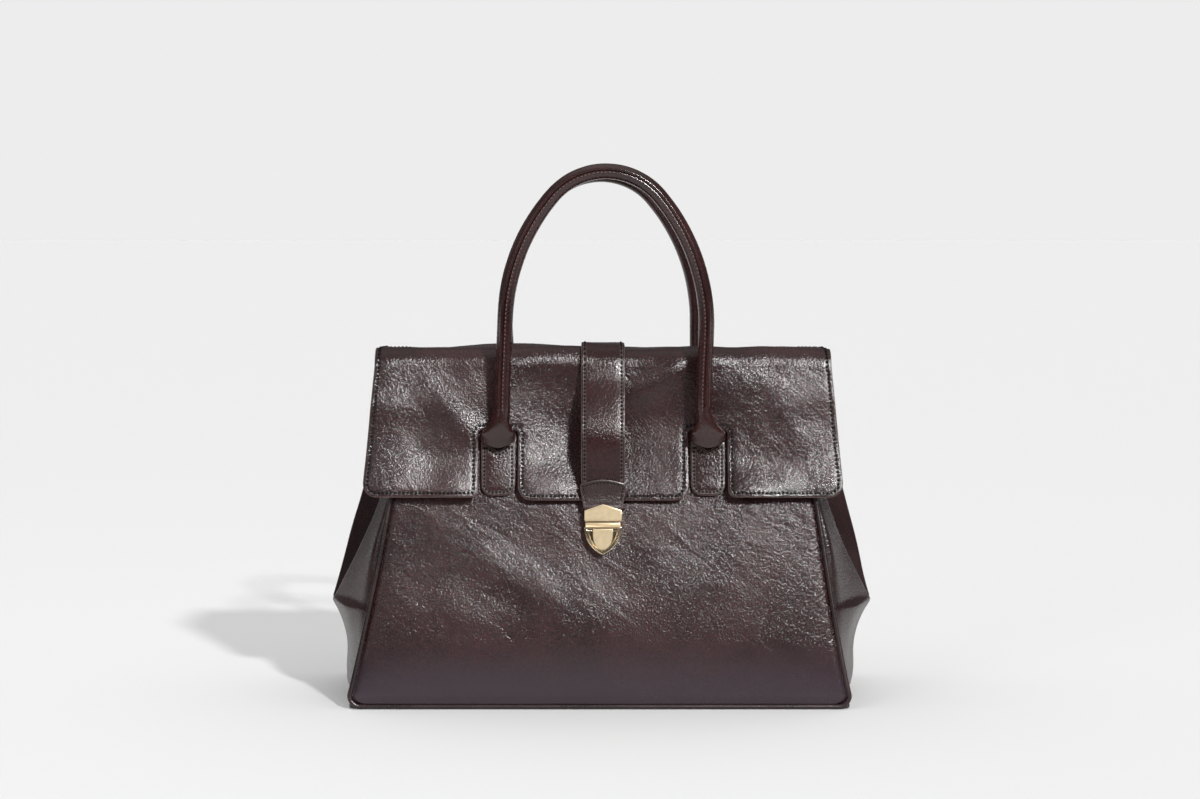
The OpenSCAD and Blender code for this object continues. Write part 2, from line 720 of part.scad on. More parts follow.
// Open notch for the staple, and the slot by which the latch reaches it from the button's room
module staple_room() {
    w = staple_w + 2 * clear;
    plate(keep_out - staple_in - clear, keep_out + overrun)
        translate([-w / 2, clear]) square([w, keep_h + overrun]);
    plate(latch_near, latch_near + 3 * latch_t)
        translate([-staple_w / 4 - clear, -bar_h - case_wall - overrun])
            square([staple_w / 2 + 2 * clear, bar_h + case_wall + overrun + 2 * clear]);
}

module lock_backplate() {
    inner = panel_t + seat + lining_gap + lining_t + clear;
    color(steel) at_lock() {
        plate(-inner - latch_t, -inner) translate([-bar_w / 2, -bar_h]) square([bar_w, bar_h + keep_h]);
        studs(lock_studs, -inner, keep_out - staple_in);
    }
}

button_out = case_out + rim_step / 2;

module lock_button() {
    color(gold) at_lock() {
        plate(flange_far - latch_t, button_out) tongue_shape(0);
        plate(flange_far - 2 * latch_t, flange_far) tongue_shape(button_flange);
    }
}

// Latch: a bent leaf that lies under the button and hooks into the staple
module latch_spring() {
    high = flange_far - 3 * latch_t - clear;
    knee = latch_near + clear;
    bar_low = -bar_h - case_wall;
    foot = bar_low - shield_h * 3 / 4;
    route = [[clear, foot], [high, bar_low - shield_h / 3], [knee, bar_low], [knee, staple_h / 2]];
    color(steel) at_lock() translate([-staple_w / 4, 0, 0]) rotate([90, 0, 90]) linear_extrude(staple_w / 2)
        polygon(concat([for (p = route) [-p[0], p[1]]], [for (p = flip(route)) [-p[0] - latch_t, p[1]]]));
}

// Hasp on the strap's end
hasp_near = strap_face + seat;
hasp_outline = [[hasp_w / 2, clear], [hasp_w / 2, hasp_shoulder_h], [0, hasp_h],
    [-hasp_w / 2, hasp_shoulder_h], [-hasp_w / 2, clear]];

module hasp_plate() {
    b = hasp_t / 3;
    color(gold) at_lock() {
        plate(hasp_near, hasp_near + hasp_t - b) polygon(hasp_outline);
        plate(hasp_near, hasp_near + hasp_t) offset(delta = -b) polygon(hasp_outline);
    }
}

module hasp_staple() {
    low = 2 * clear;
    color(gold) at_lock() difference() {
        plate(keep_out - staple_in, hasp_near - seat)
            translate([-staple_w / 2, low]) square([staple_w, staple_h]);
        plate(latch_near, latch_near + 3 * latch_t)
            translate([-staple_w / 4 - clear, 0]) square([staple_w / 2 + 2 * clear, low + staple_h / 2]);
    }
}

module hasp_backplate() {
    near = (strap_face - strap_t) * cos(lock_tilt) - 2 * seat - 2 * latch_t;
    low = strap_low_z - lock_z + seat;
    color(steel) at_lock() {
        plate(near, near + 2 * latch_t) translate([-hasp_w / 3 - stud_d / 2, low])
            square([2 * hasp_w / 3 + stud_d, tongue_low_z - lock_z - low - 2 * clear]);
        studs(hasp_studs, near, hasp_near - seat);
    }
}

front_panel();
back_panel();
base_panel();
gusset_left();
gusset_right();
front_piping();
back_piping();
base_board();
lining();
mouth_facing();
inner_pocket();
front_tab_left();
front_tab_right();
back_tab_left();
back_tab_right();
front_handle();
front_handle_core();
front_handle_ends();
back_handle();
back_handle_core();
back_handle_ends();
flap_anchor();
flap();
flap_lining();
centre_strap();
lock_patch();
hasp_plate();
hasp_staple();
hasp_backplate();
lock_case();
lock_backplate();
lock_button();
latch_spring();
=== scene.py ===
from math import acos, atan, atan2, copysign, cos, exp, pi, radians, sin, sqrt, tan

import bmesh
import bpy
from mathutils import Matrix, Vector, noise


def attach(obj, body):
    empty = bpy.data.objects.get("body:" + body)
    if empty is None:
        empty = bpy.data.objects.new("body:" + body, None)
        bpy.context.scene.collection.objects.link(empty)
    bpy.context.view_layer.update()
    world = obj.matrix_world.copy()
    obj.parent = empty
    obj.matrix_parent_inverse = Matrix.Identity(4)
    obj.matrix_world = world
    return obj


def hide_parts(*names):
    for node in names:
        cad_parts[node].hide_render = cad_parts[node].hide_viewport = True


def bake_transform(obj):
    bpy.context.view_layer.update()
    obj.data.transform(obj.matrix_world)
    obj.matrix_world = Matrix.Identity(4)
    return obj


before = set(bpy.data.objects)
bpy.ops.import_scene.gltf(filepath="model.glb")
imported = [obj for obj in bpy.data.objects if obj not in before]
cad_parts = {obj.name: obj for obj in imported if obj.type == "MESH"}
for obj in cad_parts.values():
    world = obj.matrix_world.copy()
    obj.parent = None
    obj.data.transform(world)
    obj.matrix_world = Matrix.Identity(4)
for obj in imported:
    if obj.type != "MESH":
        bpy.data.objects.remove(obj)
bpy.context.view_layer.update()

# Sizes are in millimetres, as in the part's source, until a mesh is finished
MM = 0.001

BASE_W, FRONT_TOP_W, BACK_TOP_W = 360, 270, 300
BASE_D, TOP_D, BODY_H = 160, 94, 250
PANEL_T, BASE_T, PANEL_CORNER_R = 2.5, 3, 6
PIPING_D, SEAT = 3.6, 0.1
GUSSET_T, TIP_W, TIP_H, TUCK_D = 2.2, 401, 70, 112
SAG_OUT, SAG_H = 13, 18
FRONT_FOLD_OUT, BACK_FOLD_OUT = 3, 6
LINING_T, LINING_GAP, LINING_SLACK = 0.8, 0.4, 1
FACING_H, FACING_T = 35, 1.5
POCKET_W, POCKET_Z, POCKET_DROP, POCKET_T = 150, 100, 20, 1

FLAP_TOP_W, FLAP_LOW_W, FLAP_Z = 327, 346, 254
FLAP_LOW_Z, TONGUE_LOW_Z, SLOT_TOP_Z, SLOT_W = 150.5, 148.5, 198.5, 28.6
FLAP_T, FLAP_LINING_T, FLAP_GAP = 1.9, 1, 1.6
FLAP_CORNER_R, ROLL_R, BACK_ROLL_R = 10, 12, 5
ANCHOR_W, ANCHOR_LOW_Z = 292, 222
STRAP_W, STRAP_T, STRAP_LOW_Z, STRAP_REAR, STRAP_BOW = 31.4, 2.6, 140, 6, 9
PATCH_W, PATCH_LOW_W, PATCH_T, PATCH_TOP_Z, PATCH_ARCH_H = 33.8, 27.8, 1.3, 163, 5

HANDLE_D, CORE_D, HANDLE_Y, HANDLE_TOP_Z = 11.2, 7, 68.5, 390
LEG_X, CROWN_R, SIDE_R = 72, 50, 145
TAB_X, TAB_W, TAB_T, TAB_LOW_Z, TAB_TOP_Z, NOTCH_H, TAB_CORNER_R = 75.4, 24.6, 3, 152.5, 191.5, 8, 8
BELL_W, BELL_T, BELL_LOW_Z, BELL_TOP_Z = 25, 6, 197.5, 216

LOCK_Z, HASP_W, HASP_H, HASP_SHOULDER_H, HASP_T = 133.5, 26.5, 12.3, 7.8, 1.8
BAR_W, BAR_H, KEEP_H, SHIELD_W, SHIELD_H, CASE_OUT = 25, 4.2, 5, 26.4, 19.6, 9
BUTTON_W, BUTTON_H, BUTTON_TOP = 14, 15, 1.2

FLAP_OFF = FLAP_LINING_T + SEAT
FLAP_FACE = FLAP_OFF + FLAP_T
STRAP_OFF = FLAP_FACE + 0.3
STRAP_FACE = FLAP_GAP + STRAP_OFF + STRAP_T
STITCH_PITCH = 2.9


# Small curves

def lerp(a, b, share):
    return a + (b - a) * share


def bell(t):
    return exp(-t * t)


def ease(t):
    t = max(0, min(1, t))
    return t * t * (3 - 2 * t)


def soft_noise(x, y, z, size):
    return noise.noise(Vector((x, y, z)) / size)


def swelling(x, q, ridges):
    """The height of soft ridges at a point: each has a rise, x, reach along x, q, reach along q and climb along x."""
    return sum(rise * bell((x - at) / x_reach) * bell((q - q_at - climb * (x - at)) / q_reach)
               for rise, at, x_reach, q_at, q_reach, climb in ridges)


# The body's form, as the part's source draws it, and how its soft walls give
SINK, SINK_X, SINK_Z = 9.5, -7, 200
BELLY, BELLY_Z = 5, 62
FRONT_SEED, BACK_SEED = 11, 47
FOOT_SWAY, SWAY_H = 2.6, 150


def half_d(z):
    return lerp(BASE_D, TOP_D, max(0, min(1, z / BODY_H)) ** 1.3) / 2


def half_w(z, top_w):
    return lerp(BASE_W, top_w, max(0, min(1, z / BODY_H)) ** 0.85) / 2


def sink(x, z):
    """How far the empty front wall sinks in between the handles, deepest a little left of the middle."""
    return SINK * bell((x - SINK_X) / (54 if x < SINK_X else 95)) * bell((z - SINK_Z) / 34)


def belly(x, z, top_w, seed):
    """How far a wall swells below the flap, with the slow waves of soft leather.
    The front wall is fuller high on its right than low, and has one slanted fold on its left."""
    across = max(0, 1 - (x / half_w(z, top_w)) ** 2)
    waves = 2.6 * soft_noise(x, seed, z, 60) + 0.9 * soft_noise(x + z * 0.6, seed, z - x * 0.4, 24)
    waves *= lerp(0.8, 0.35, ease((x + 20) / 90)) * bell((z - 84) / 56)
    full = BELLY * bell((z - BELLY_Z) / (34 if z < BELLY_Z else 50))
    if seed == FRONT_SEED:
        full *= lerp(1, 0.5, ease((x - 10) / 90))
        full += 2 * bell((0.885 * (z - 128) + 0.464 * (x + 121)) / 13) * bell((x + 70) / 46)
        full += 3.5 * ease((x + 15) / 150) * bell((z - 106) / 48)
    return across ** 0.6 * (full + waves)


def tuck(z):
    """How far a wall's top edge is turned in under the flap."""
    return 2.8 * ease((z - 236) / 13)


def front_wall(x, z, out=0):
    """A point out in front of the front panel's outer face."""
    return Vector((x, -half_d(z) - out + sink(x, z) + tuck(z) - belly(x, z, FRONT_TOP_W, FRONT_SEED), z))


def back_wall(x, z, out=0):
    return Vector((x, half_d(z) + out - tuck(z) + belly(x, z, BACK_TOP_W, BACK_SEED), z))


def fold_rise(z):
    return max(0, (z - TIP_H) / (BODY_H - TIP_H))


def gusset_line(z):
    """The gusset's outer face across the bag at a height, from the front seam to the back seam."""
    swell = TIP_W / 2 - (half_w(TIP_H, FRONT_TOP_W) + half_w(TIP_H, BACK_TOP_W)) / 2
    sag = max(0, min(1, (z - BASE_T - SEAT) / SAG_H))
    sag = SAG_OUT * sag * (2 - sag)
    fold = lerp(0.25, 0.44, z / TIP_H) if z < TIP_H else lerp(0.08, 0.44, (1 - fold_rise(z)) ** 2.5)
    half = half_d(z) - PANEL_T - SEAT
    places = [0, fold / 2, fold, (fold + 0.5) / 2, 0.5, 1 - (fold + 0.5) / 2, 1 - fold, 1 - fold / 2, 1]

    def edge_x(share):
        return lerp(half_w(z, FRONT_TOP_W), half_w(z, BACK_TOP_W), share)

    def fold_x(share, out, power):
        return edge_x(share) + lerp(out, swell * sin(pi * 0.44), (1 - fold_rise(z)) ** power)

    if z <= TIP_H:
        xs = [edge_x(s) + lerp(sag, swell, (z / TIP_H) ** 3) * sin(pi * s) for s in places]
    else:
        front, back = fold_x(fold, FRONT_FOLD_OUT, 2.8), fold_x(1 - fold, BACK_FOLD_OUT, 0.85)
        middle = TIP_W / 2 - TUCK_D * fold_rise(z) ** 0.5
        xs = [edge_x(0), (edge_x(0) + front) / 2, front, (front + middle) / 2, middle,
              (middle + back) / 2, back, (back + edge_x(1)) / 2, edge_x(1)]
    return [Vector((x, lerp(-half, half, s))) for x, s in zip(xs, places)]


def along(points, place):
    """The point at a fractional place in a list of points."""
    k = max(0, min(len(points) - 2, int(place)))
    return points[k].lerp(points[k + 1], place - k)


# Materials

def color(*shown):
    """A colour written as red, green and blue show on a screen, 0 to 255."""
    return tuple(c / 255 / 12.92 if c <= 10 else ((c / 255 + 0.055) / 1.055) ** 2.4 for c in shown) + (1,)


def node_group(name, inputs, outputs):
    group = bpy.data.node_groups.new(name, "ShaderNodeTree")
    for label, kind, value in inputs:
        group.interface.new_socket(label, in_out="INPUT", socket_type=kind).default_value = value
    for label, kind in outputs:
        group.interface.new_socket(label, in_out="OUTPUT", socket_type=kind)
    return group, group.nodes.new("NodeGroupInput"), group.nodes.new("NodeGroupOutput")


def add(tree, kind, inputs=None, **settings):
    """A node with its settings, and its inputs as plain values or as links from other sockets."""
    node = tree.nodes.new("ShaderNode" + kind)
    for key, value in settings.items():
        setattr(node, key, value)
    for key, value in (inputs or {}).items():
        if isinstance(value, bpy.types.NodeSocket):
            tree.links.new(value, node.inputs[key])
        else:
            node.inputs[key].default_value = value
    return node


def mathed(tree, operation, *values):
    return add(tree, "Math", dict(enumerate(values)), operation=operation).outputs[0]


def ramped(tree, value, *stops):
    """A colour ramp from stops of (place, grey or colour)."""
    node = add(tree, "ValToRGB", {0: value})
    ramp = node.color_ramp.elements
    while len(ramp) < len(stops):
        ramp.new(0.5)
    for stop, (place, tone) in zip(ramp, stops):
        stop.position = place
        stop.color = tone if isinstance(tone, tuple) else (tone, tone, tone, 1)
    return node.outputs[0]


def mixed(tree, share, a, b):
    """Colour a turned to b by a share."""
    return add(tree, "Mix", {0: share, 6: a, 7: b}, data_type="RGBA").outputs[2]


GRAIN_SIZE = 0.0014


def grain_group():
    """Fine pebbled grain with drawn creases: a height, a slow tone, and masks of the creases and the pits."""
    group, inside, out = node_group(
        "leather_grain",
        [("Vector", "NodeSocketVector", (0, 0, 0)), ("Grain Size", "NodeSocketFloat", GRAIN_SIZE),
         ("Crease Amount", "NodeSocketFloat", 0.5), ("Slant", "NodeSocketVector", (0, 0.6, 0))],
        [("Height", "NodeSocketFloat"), ("Tone", "NodeSocketFloat"), ("Crease", "NodeSocketFloat"),
         ("Pit", "NodeSocketFloat")])
    place = inside.outputs["Vector"]
    fine = mathed(group, "DIVIDE", 1, inside.outputs["Grain Size"])
    warp = add(group, "TexNoise", {"Vector": place, "Scale": 420, "Detail": 2}).outputs["Color"]
    bent = add(group, "VectorMath", {0: warp, 1: (0.0012,) * 3, 2: place}, operation="MULTIPLY_ADD").outputs[0]
    pebble = add(group, "TexVoronoi", {"Vector": bent, "Scale": fine, "Randomness": 0.9},
                 feature="SMOOTH_F1").outputs[0]
    speck = add(group, "TexNoise", {"Vector": bent, "Scale": mathed(group, "MULTIPLY", fine, 1.2), "Detail": 3,
                                    "Roughness": 0.62}).outputs[0]
    turned = add(group, "VectorRotate", {"Vector": place, "Rotation": inside.outputs["Slant"]},
                 rotation_type="EULER_XYZ").outputs[0]
    drawn = add(group, "VectorMath", {0: turned, 1: (15, 15, 42)}, operation="MULTIPLY").outputs[0]
    streak = add(group, "TexNoise", {"Vector": drawn, "Scale": 1.9, "Detail": 1.5, "Roughness": 0.55,
                                     "Distortion": 0.8}).outputs[0]
    crease = ramped(group, streak, (0.42, 0.0), (0.5, 1.0), (0.58, 0.0))
    slow = add(group, "TexNoise", {"Vector": place, "Scale": 16, "Detail": 4, "Roughness": 0.55}).outputs[0]
    # The crease mask sinks the creases, and the leather's colour paints shade in them with it
    worn = mathed(group, "MULTIPLY", crease, inside.outputs["Crease Amount"])
    grit = mathed(group, "MULTIPLY_ADD", speck, 0.9, mathed(group, "MULTIPLY", pebble, -0.7))
    pulled = mathed(group, "MULTIPLY", mathed(group, "MULTIPLY", streak, inside.outputs["Crease Amount"]), 7)
    height = mathed(group, "ADD", grit, mathed(group, "MULTIPLY_ADD", worn, -0.25, pulled))
    pit = ramped(group, grit, (0.0, 1.0), (0.35, 0.0))
    for label, value in (("Height", height), ("Tone", slow), ("Crease", worn), ("Pit", pit)):
        group.links.new(value, out.inputs[label])
    return group


GRAIN = grain_group()
# Painted shade for the pits of the grain, and the grey of a painted reflection of the floor for the leather's lower
# band
PIT_SHADE, PAINTED_FLOOR_REFLECTION = color(20, 9, 9), color(54, 44, 52)


def new_material(name, **shader):
    material = bpy.data.materials.new(name)
    material.use_nodes = True
    tree = material.node_tree
    surface = tree.nodes["Principled BSDF"]
    for key, value in shader.items():
        surface.inputs[key.replace("_", " ")].default_value = value
    place = add(tree, "TexCoord").outputs["Object"]
    return material, tree, surface, place


def bumped(tree, height, strength, distance, *inputs):
    bump = add(tree, "Bump", {"Height": height, "Strength": strength, "Distance": distance}).outputs[0]
    for normal in inputs:
        tree.links.new(bump, normal)


def leather(name, low, high, gloss=0.25, depth=0.9, creases=0.1, slant=(0, 0.6, 0), coat=0, calm=0, shine=0.5):
    """Glazed calf with painted shade in its creases and in the pits of its fine grain, a grain that breaks up its
    shine.
    Below the height calm, in metres, the grain is pulled smooth and the colour turns greyer, a painted reflection of
    the floor."""
    material, tree, surface, place = new_material(
        name, Coat_Weight=coat, Coat_Roughness=0.2, Specular_IOR_Level=shine, Coat_IOR=1.5)
    hide = add(tree, "Group", {"Vector": place, "Grain Size": GRAIN_SIZE, "Crease Amount": creases, "Slant": slant},
               node_tree=GRAIN)
    tone = ramped(tree, hide.outputs["Tone"], (0.32, low), (0.68, high))
    # Painted shade: the creases are darkened towards the low tone
    dark = mixed(tree, mathed(tree, "MULTIPLY", hide.outputs["Crease"], 0.6), tone, low)
    # Painted shade: the pits of the grain are darkened
    dark = mixed(tree, mathed(tree, "MULTIPLY", hide.outputs["Pit"], 0.7), dark, PIT_SHADE)
    worn = mathed(tree, "MULTIPLY_ADD", hide.outputs["Tone"], 0.25, gloss - 0.125)
    rough = mathed(tree, "MULTIPLY_ADD", hide.outputs["Pit"], 0.08, worn)
    if calm:
        # A ramp's 1 stands for a height of 0.1 m
        up = mathed(tree, "MULTIPLY", add(tree, "SeparateXYZ", {0: place}).outputs["Z"], 10)
        depth = ramped(tree, up, (calm * 7, depth * 0.2), (calm * 12, depth))
        # Painted reflection of the floor: the lower band turns grey-purple
        dark = mixed(tree, ramped(tree, up, (calm * 4, 0.8), (calm * 12, 0.0)), dark, PAINTED_FLOOR_REFLECTION)
    tree.links.new(dark, surface.inputs["Base Color"])
    tree.links.new(rough, surface.inputs["Roughness"])
    bumped(tree, hide.outputs["Height"], depth, 0.0004, surface.inputs["Normal"], surface.inputs["Coat Normal"])
    return material


def ribs(tree, place, scale, distortion, **inputs):
    """Slanted bands, for whatever is twisted or woven."""
    return add(tree, "TexWave", {"Vector": place, "Scale": scale, "Distortion": distortion, **inputs},
               wave_type="BANDS", bands_direction="DIAGONAL").outputs[1]


def textured(name, pattern, low, high, strength, distance, **shader):
    """A material coloured between two stops of one pattern, which is raised as bump too."""
    material, tree, surface, place = new_material(name, **shader)
    value = pattern(tree, place)
    tree.links.new(ramped(tree, value, low, high), surface.inputs["Base Color"])
    bumped(tree, value, strength, distance, surface.inputs["Normal"])
    return material


def thread(name, tone):
    """Waxed thread with its twist."""
    return textured(name, lambda tree, place: ribs(tree, place, 700, 1.5), (0.2, color(*(c * 0.6 for c in tone))),
                    (0.8, color(*tone)), 0.5, 0.0002, Roughness=0.7, Specular_IOR_Level=0.2)


def fibrous(scale, **detail):
    """A pattern of fine patches or fibres."""
    return lambda tree, place: add(tree, "TexNoise", {"Vector": place, "Scale": scale, **detail}).outputs[0]


def metal(name, tone, rough, brushed):
    """Metal with a faint haze, and with hairlines along X as far as it is brushed."""
    material, tree, surface, place = new_material(name, Metallic=1.0)
    haze = add(tree, "TexNoise", {"Vector": place, "Scale": 300, "Detail": 4}).outputs[0]
    long = add(tree, "VectorMath", {0: place, 1: (40, 40, 1400)}, operation="MULTIPLY").outputs[0]
    hair = add(tree, "TexNoise", {"Vector": long, "Scale": 3, "Detail": 3}).outputs[0]
    shade = tuple(c * 0.96 for c in tone)
    tree.links.new(ramped(tree, haze, (0.35, color(*shade)), (0.65, color(*tone))), surface.inputs["Base Color"])
    tree.links.new(mathed(tree, "MULTIPLY_ADD", haze, 0.04, rough - 0.02), surface.inputs["Roughness"])
    bumped(tree, hair, brushed, 0.0001, surface.inputs["Normal"])
    return material


def woven(tree, place):
    """The diagonal rib of lining cloth, with a little fuzz."""
    rib = mathed(tree, "MULTIPLY", ribs(tree, place, 320, 0.4, Detail=2), 0.7)
    return mathed(tree, "MULTIPLY_ADD", fibrous(900, Detail=2)(tree, place), 0.5, rib)


CALF_LOW, CALF_HIGH = color(40, 19, 20), color(69, 38, 39)
PANEL_CALF = leather("panel_calf", CALF_LOW, CALF_HIGH, gloss=0.18, creases=0.26, slant=(0, -0.6, 0), calm=0.042,
                     shine=0.45)
FLAP_CALF = leather("flap_calf", CALF_LOW, CALF_HIGH, gloss=0.19, creases=0.24, slant=(0.3, -0.9, 0))
GUSSET_CALF = leather("gusset_calf", color(36, 15, 16), color(58, 28, 30), gloss=0.26, depth=0.5, creases=0.12)
STRAP_CALF = leather("strap_calf", color(42, 17, 17), color(66, 33, 32), gloss=0.2, depth=0.7, shine=0.38)
PATCH_CALF = leather("patch_calf", color(46, 22, 22), color(66, 34, 33), gloss=0.34, coat=0.1)
HANDLE_CALF = leather("handle_calf", color(40, 14, 13), color(66, 29, 26), gloss=0.2, depth=0.3, slant=(0, 0, 0),
                      coat=0.3)
PIPING_CALF = leather("piping_calf", color(28, 11, 12), color(54, 26, 27), gloss=0.28, depth=0.3, creases=0.05,
                      coat=0.1)
INNER_CALF = leather("inner_calf", color(48, 36, 34), color(70, 54, 50), gloss=0.55, depth=0.7, creases=0.2)
EDGE = textured("edge_paint", fibrous(260, Detail=3), (0.3, color(52, 36, 35)), (0.7, color(84, 64, 60)),
                0.4, 0.0003, Roughness=0.42, Coat_Weight=0.2)
# The stitches are near black: dark thread, with painted shade of the stitch holes in it
THREAD_AND_HOLE_SHADE = thread("waxed_thread_and_hole_shade", (12, 7, 8))
HANDLE_THREAD = thread("handle_thread", (112, 96, 94))
LINING = textured("lining_twill", woven, (0.2, color(84, 72, 66)), (0.9, color(120, 106, 98)),
                  0.6, 0.0004, Roughness=0.8, Sheen_Weight=0.25)
BOARD = textured("grey_board", fibrous(450, Detail=5, Roughness=0.7), (0.3, color(122, 106, 88)),
                 (0.7, color(158, 140, 118)), 0.5, 0.0003, Roughness=0.9)
ROPE = textured("cotton_rope", lambda tree, place: ribs(tree, place, 260, 1.2), (0.1, color(178, 166, 142)),
                (0.9, color(222, 212, 190)), 0.7, 0.0005, Roughness=0.85, Sheen_Weight=0.2)
GOLD = metal("satin_gold", (236, 214, 176), 0.34, 0.03)
BRIGHT_GOLD = metal("polished_gold", (244, 228, 198), 0.16, 0)
STEEL = metal("brushed_steel", (188, 190, 194), 0.34, 0.4)


# Making pieces

def skin(columns, rows, place, closed=False):
    """A grid laid by place(column, row); a closed one is welded round into a tube with capped ends."""
    bm = bmesh.new()
    bmesh.ops.create_grid(bm, x_segments=columns, y_segments=rows, size=0.5)
    for v in bm.verts:
        v.co = place(round((v.co.x + 0.5) * columns), round((v.co.y + 0.5) * rows))
    if closed:
        bmesh.ops.remove_doubles(bm, verts=bm.verts, dist=0.001)
        bmesh.ops.holes_fill(bm, edges=[e for e in bm.edges if e.is_boundary], sides=0)
        bmesh.ops.recalc_face_normals(bm, faces=bm.faces)
    return bm


def new_mesh(name, bm):
    mesh = bpy.data.meshes.new(name)
    bm.to_mesh(mesh)
    bm.free()
    return mesh


def new_object(name, data):
    made = bpy.data.objects.new(name, data)
    bpy.context.scene.collection.objects.link(made)
    return made


def joined(parts):
    """Several meshes as one."""
    whole = bmesh.new()
    for part in parts:
        mesh = new_mesh("part", part)
        whole.from_mesh(mesh)
        bpy.data.meshes.remove(mesh)
    return whole


def piece(name, bm, materials, body, nodes=(), wall=0, subdivide=0, bevel=0, sharp=40, hinge=None):
    """Finishes a mesh drawn in millimetres, and sets it on its body. The bag's foot stands a little to the left."""
    for v in bm.verts:
        v.co.x -= FOOT_SWAY * ease(1 - v.co.z / SWAY_H)
    bm.transform(Matrix.Scale(MM, 4))
    mesh = new_mesh(name, bm)
    made = new_object(name, mesh)
    for material in materials:
        mesh.materials.append(material)
    if subdivide:
        levels = made.modifiers.new("smooth", "SUBSURF")
        levels.levels = levels.render_levels = subdivide
        levels.boundary_smooth = "PRESERVE_CORNERS"
    if wall:
        shell = made.modifiers.new("wall", "SOLIDIFY")
        shell.thickness = wall * MM
        shell.offset = -1
        shell.material_offset_rim = len(materials) - 1
    if bevel:
        edge = made.modifiers.new("edge", "BEVEL")
        edge.width = bevel * MM
        edge.segments = 2
        edge.limit_method = "ANGLE"
    bpy.context.view_layer.update()
    final = bpy.data.meshes.new_from_object(made.evaluated_get(bpy.context.evaluated_depsgraph_get()))
    made.modifiers.clear()
    made.data = final
    bpy.data.meshes.remove(mesh)
    final.name = name
    final.shade_smooth()
    final.set_sharp_from_angle(angle=radians(sharp))
    if hinge:
        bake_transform(made)
    else:
        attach(made, body)
    if nodes:
        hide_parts(*nodes)


def outline(corners, inset=0, segments=6):
    """The line at an inset inside flat corners (x, q, radius), each corner rounded."""
    spots = [Vector(c[:2]) for c in corners]
    line = []
    for k, (here, r) in enumerate(zip(spots, (c[2] for c in corners))):
        a, b = (here - spots[k - 1]).normalized(), (spots[(k + 1) % len(spots)] - here).normalized()
        turn = atan2(a.cross(b), a.dot(b))
        na, nb = Vector((-a.y, a.x)), Vector((-b.y, b.x))
        spot = here + (na + nb) * (inset / (1 + na.dot(nb)))
        if not r:
            line.append(spot)
            continue
        side = copysign(1, turn)
        r = max(r - side * inset, 0.3)
        center = spot - a * (r * tan(abs(turn) / 2)) + na * (r * side)
        line += [center - Matrix.Rotation(turn * i / segments, 2) @ na * (r * side) for i in range(segments + 1)]
    return line


def cut_leather(corners, step=5, rim=0.6, seam=3.2, groove=0.28, fine=()):
    """Flat leather in (x, q) from corners (x, q, radius), with a turned edge, a sewn groove and a net of cuts to
    drape it by. Returns the mesh and the line of the seam."""
    rings = [(0, -0.35), (rim, 0)]
    if seam:
        rings += [(seam - 1.1, 0), (seam, -groove), (seam + 1.1, 0)]
    lines = [[p.to_3d() + Vector((0, 0, height)) for p in outline(corners, inset)] for inset, height in rings]
    count = len(lines[0])
    bm = skin(count, len(rings) - 1, lambda i, j: lines[j][i % count])
    bmesh.ops.remove_doubles(bm, verts=bm.verts, dist=0.0005)
    bmesh.ops.holes_fill(bm, edges=[e for e in bm.edges if e.is_boundary and e.verts[0].co.z > -0.3], sides=0)
    for f in bm.faces:
        f.normal_update()
        if f.normal.z < 0:
            f.normal_flip()
        f.material_index = 1 if min(v.co.z for v in f.verts) < -0.3 else 0
    low, high = (Vector(pick(v.co[k] for v in bm.verts) for k in range(2)) for pick in (min, max))
    cuts = [(k, low[k] + step * i) for k in range(2) for i in range(1, int((high[k] - low[k]) / step) + 1)]
    for k, at in cuts + [(1, q) for q in fine]:
        normal = (1 - k, k, 0)
        bmesh.ops.bisect_plane(bm, geom=bm.verts[:] + bm.edges[:] + bm.faces[:], dist=0.0005,
                               plane_co=tuple(at * n for n in normal), plane_no=normal)
    return bm, outline(corners, seam)


def lay(bm, place, mirrored=False):
    """Lays flat leather by place(x, q, height)."""
    for v in bm.verts:
        v.co = place(*v.co)
    if mirrored:
        bmesh.ops.reverse_faces(bm, faces=bm.faces)
    return bm


def stitches(line, place, closed=True, pitch=STITCH_PITCH, keep=None, width=0.9):
    """Saddle stitches along a line of flat points, each a short thread that lies in the leather's own surface."""
    bm = bmesh.new()
    points = list(line) + ([line[0]] if closed else [])
    lengths = [(b - a).length for a, b in zip(points, points[1:])]
    count = max(1, round(sum(lengths) / pitch))
    pitch = sum(lengths) / count
    reach, k, passed = 0.36 * pitch, 0, 0
    for i in range(count):
        at = (i + 0.5) * pitch
        while k < len(lengths) - 1 and passed + lengths[k] < at:
            passed += lengths[k]
            k += 1
        if not lengths[k]:
            continue
        way = (points[k + 1] - points[k]) / lengths[k]
        spot = points[k] + way * (at - passed)
        if keep and not keep(*spot):
            continue
        side = Vector((-way.y, way.x)) * 0.5
        middle = place(*spot, 0)
        run = place(*(spot + way * reach), 0) - place(*(spot - way * reach), 0)
        across = place(*(spot + side), 0) - place(*(spot - side), 0)
        if run.length < 0.01 or across.length < 0.01:
            continue
        up = run.cross(across).normalized()
        over = up.cross(run).normalized()
        turned = Matrix((run / 2, over * width, up * width * 0.8)).transposed().to_4x4()
        bmesh.ops.create_uvsphere(bm, u_segments=6, v_segments=6, radius=1,
                                  matrix=Matrix.Translation(middle) @ turned @ Matrix.Rotation(pi / 2, 4, "Y"))
    return bm


# Body: panels, base, gussets and piping

LOW_Z = PIPING_D + 2 * SEAT


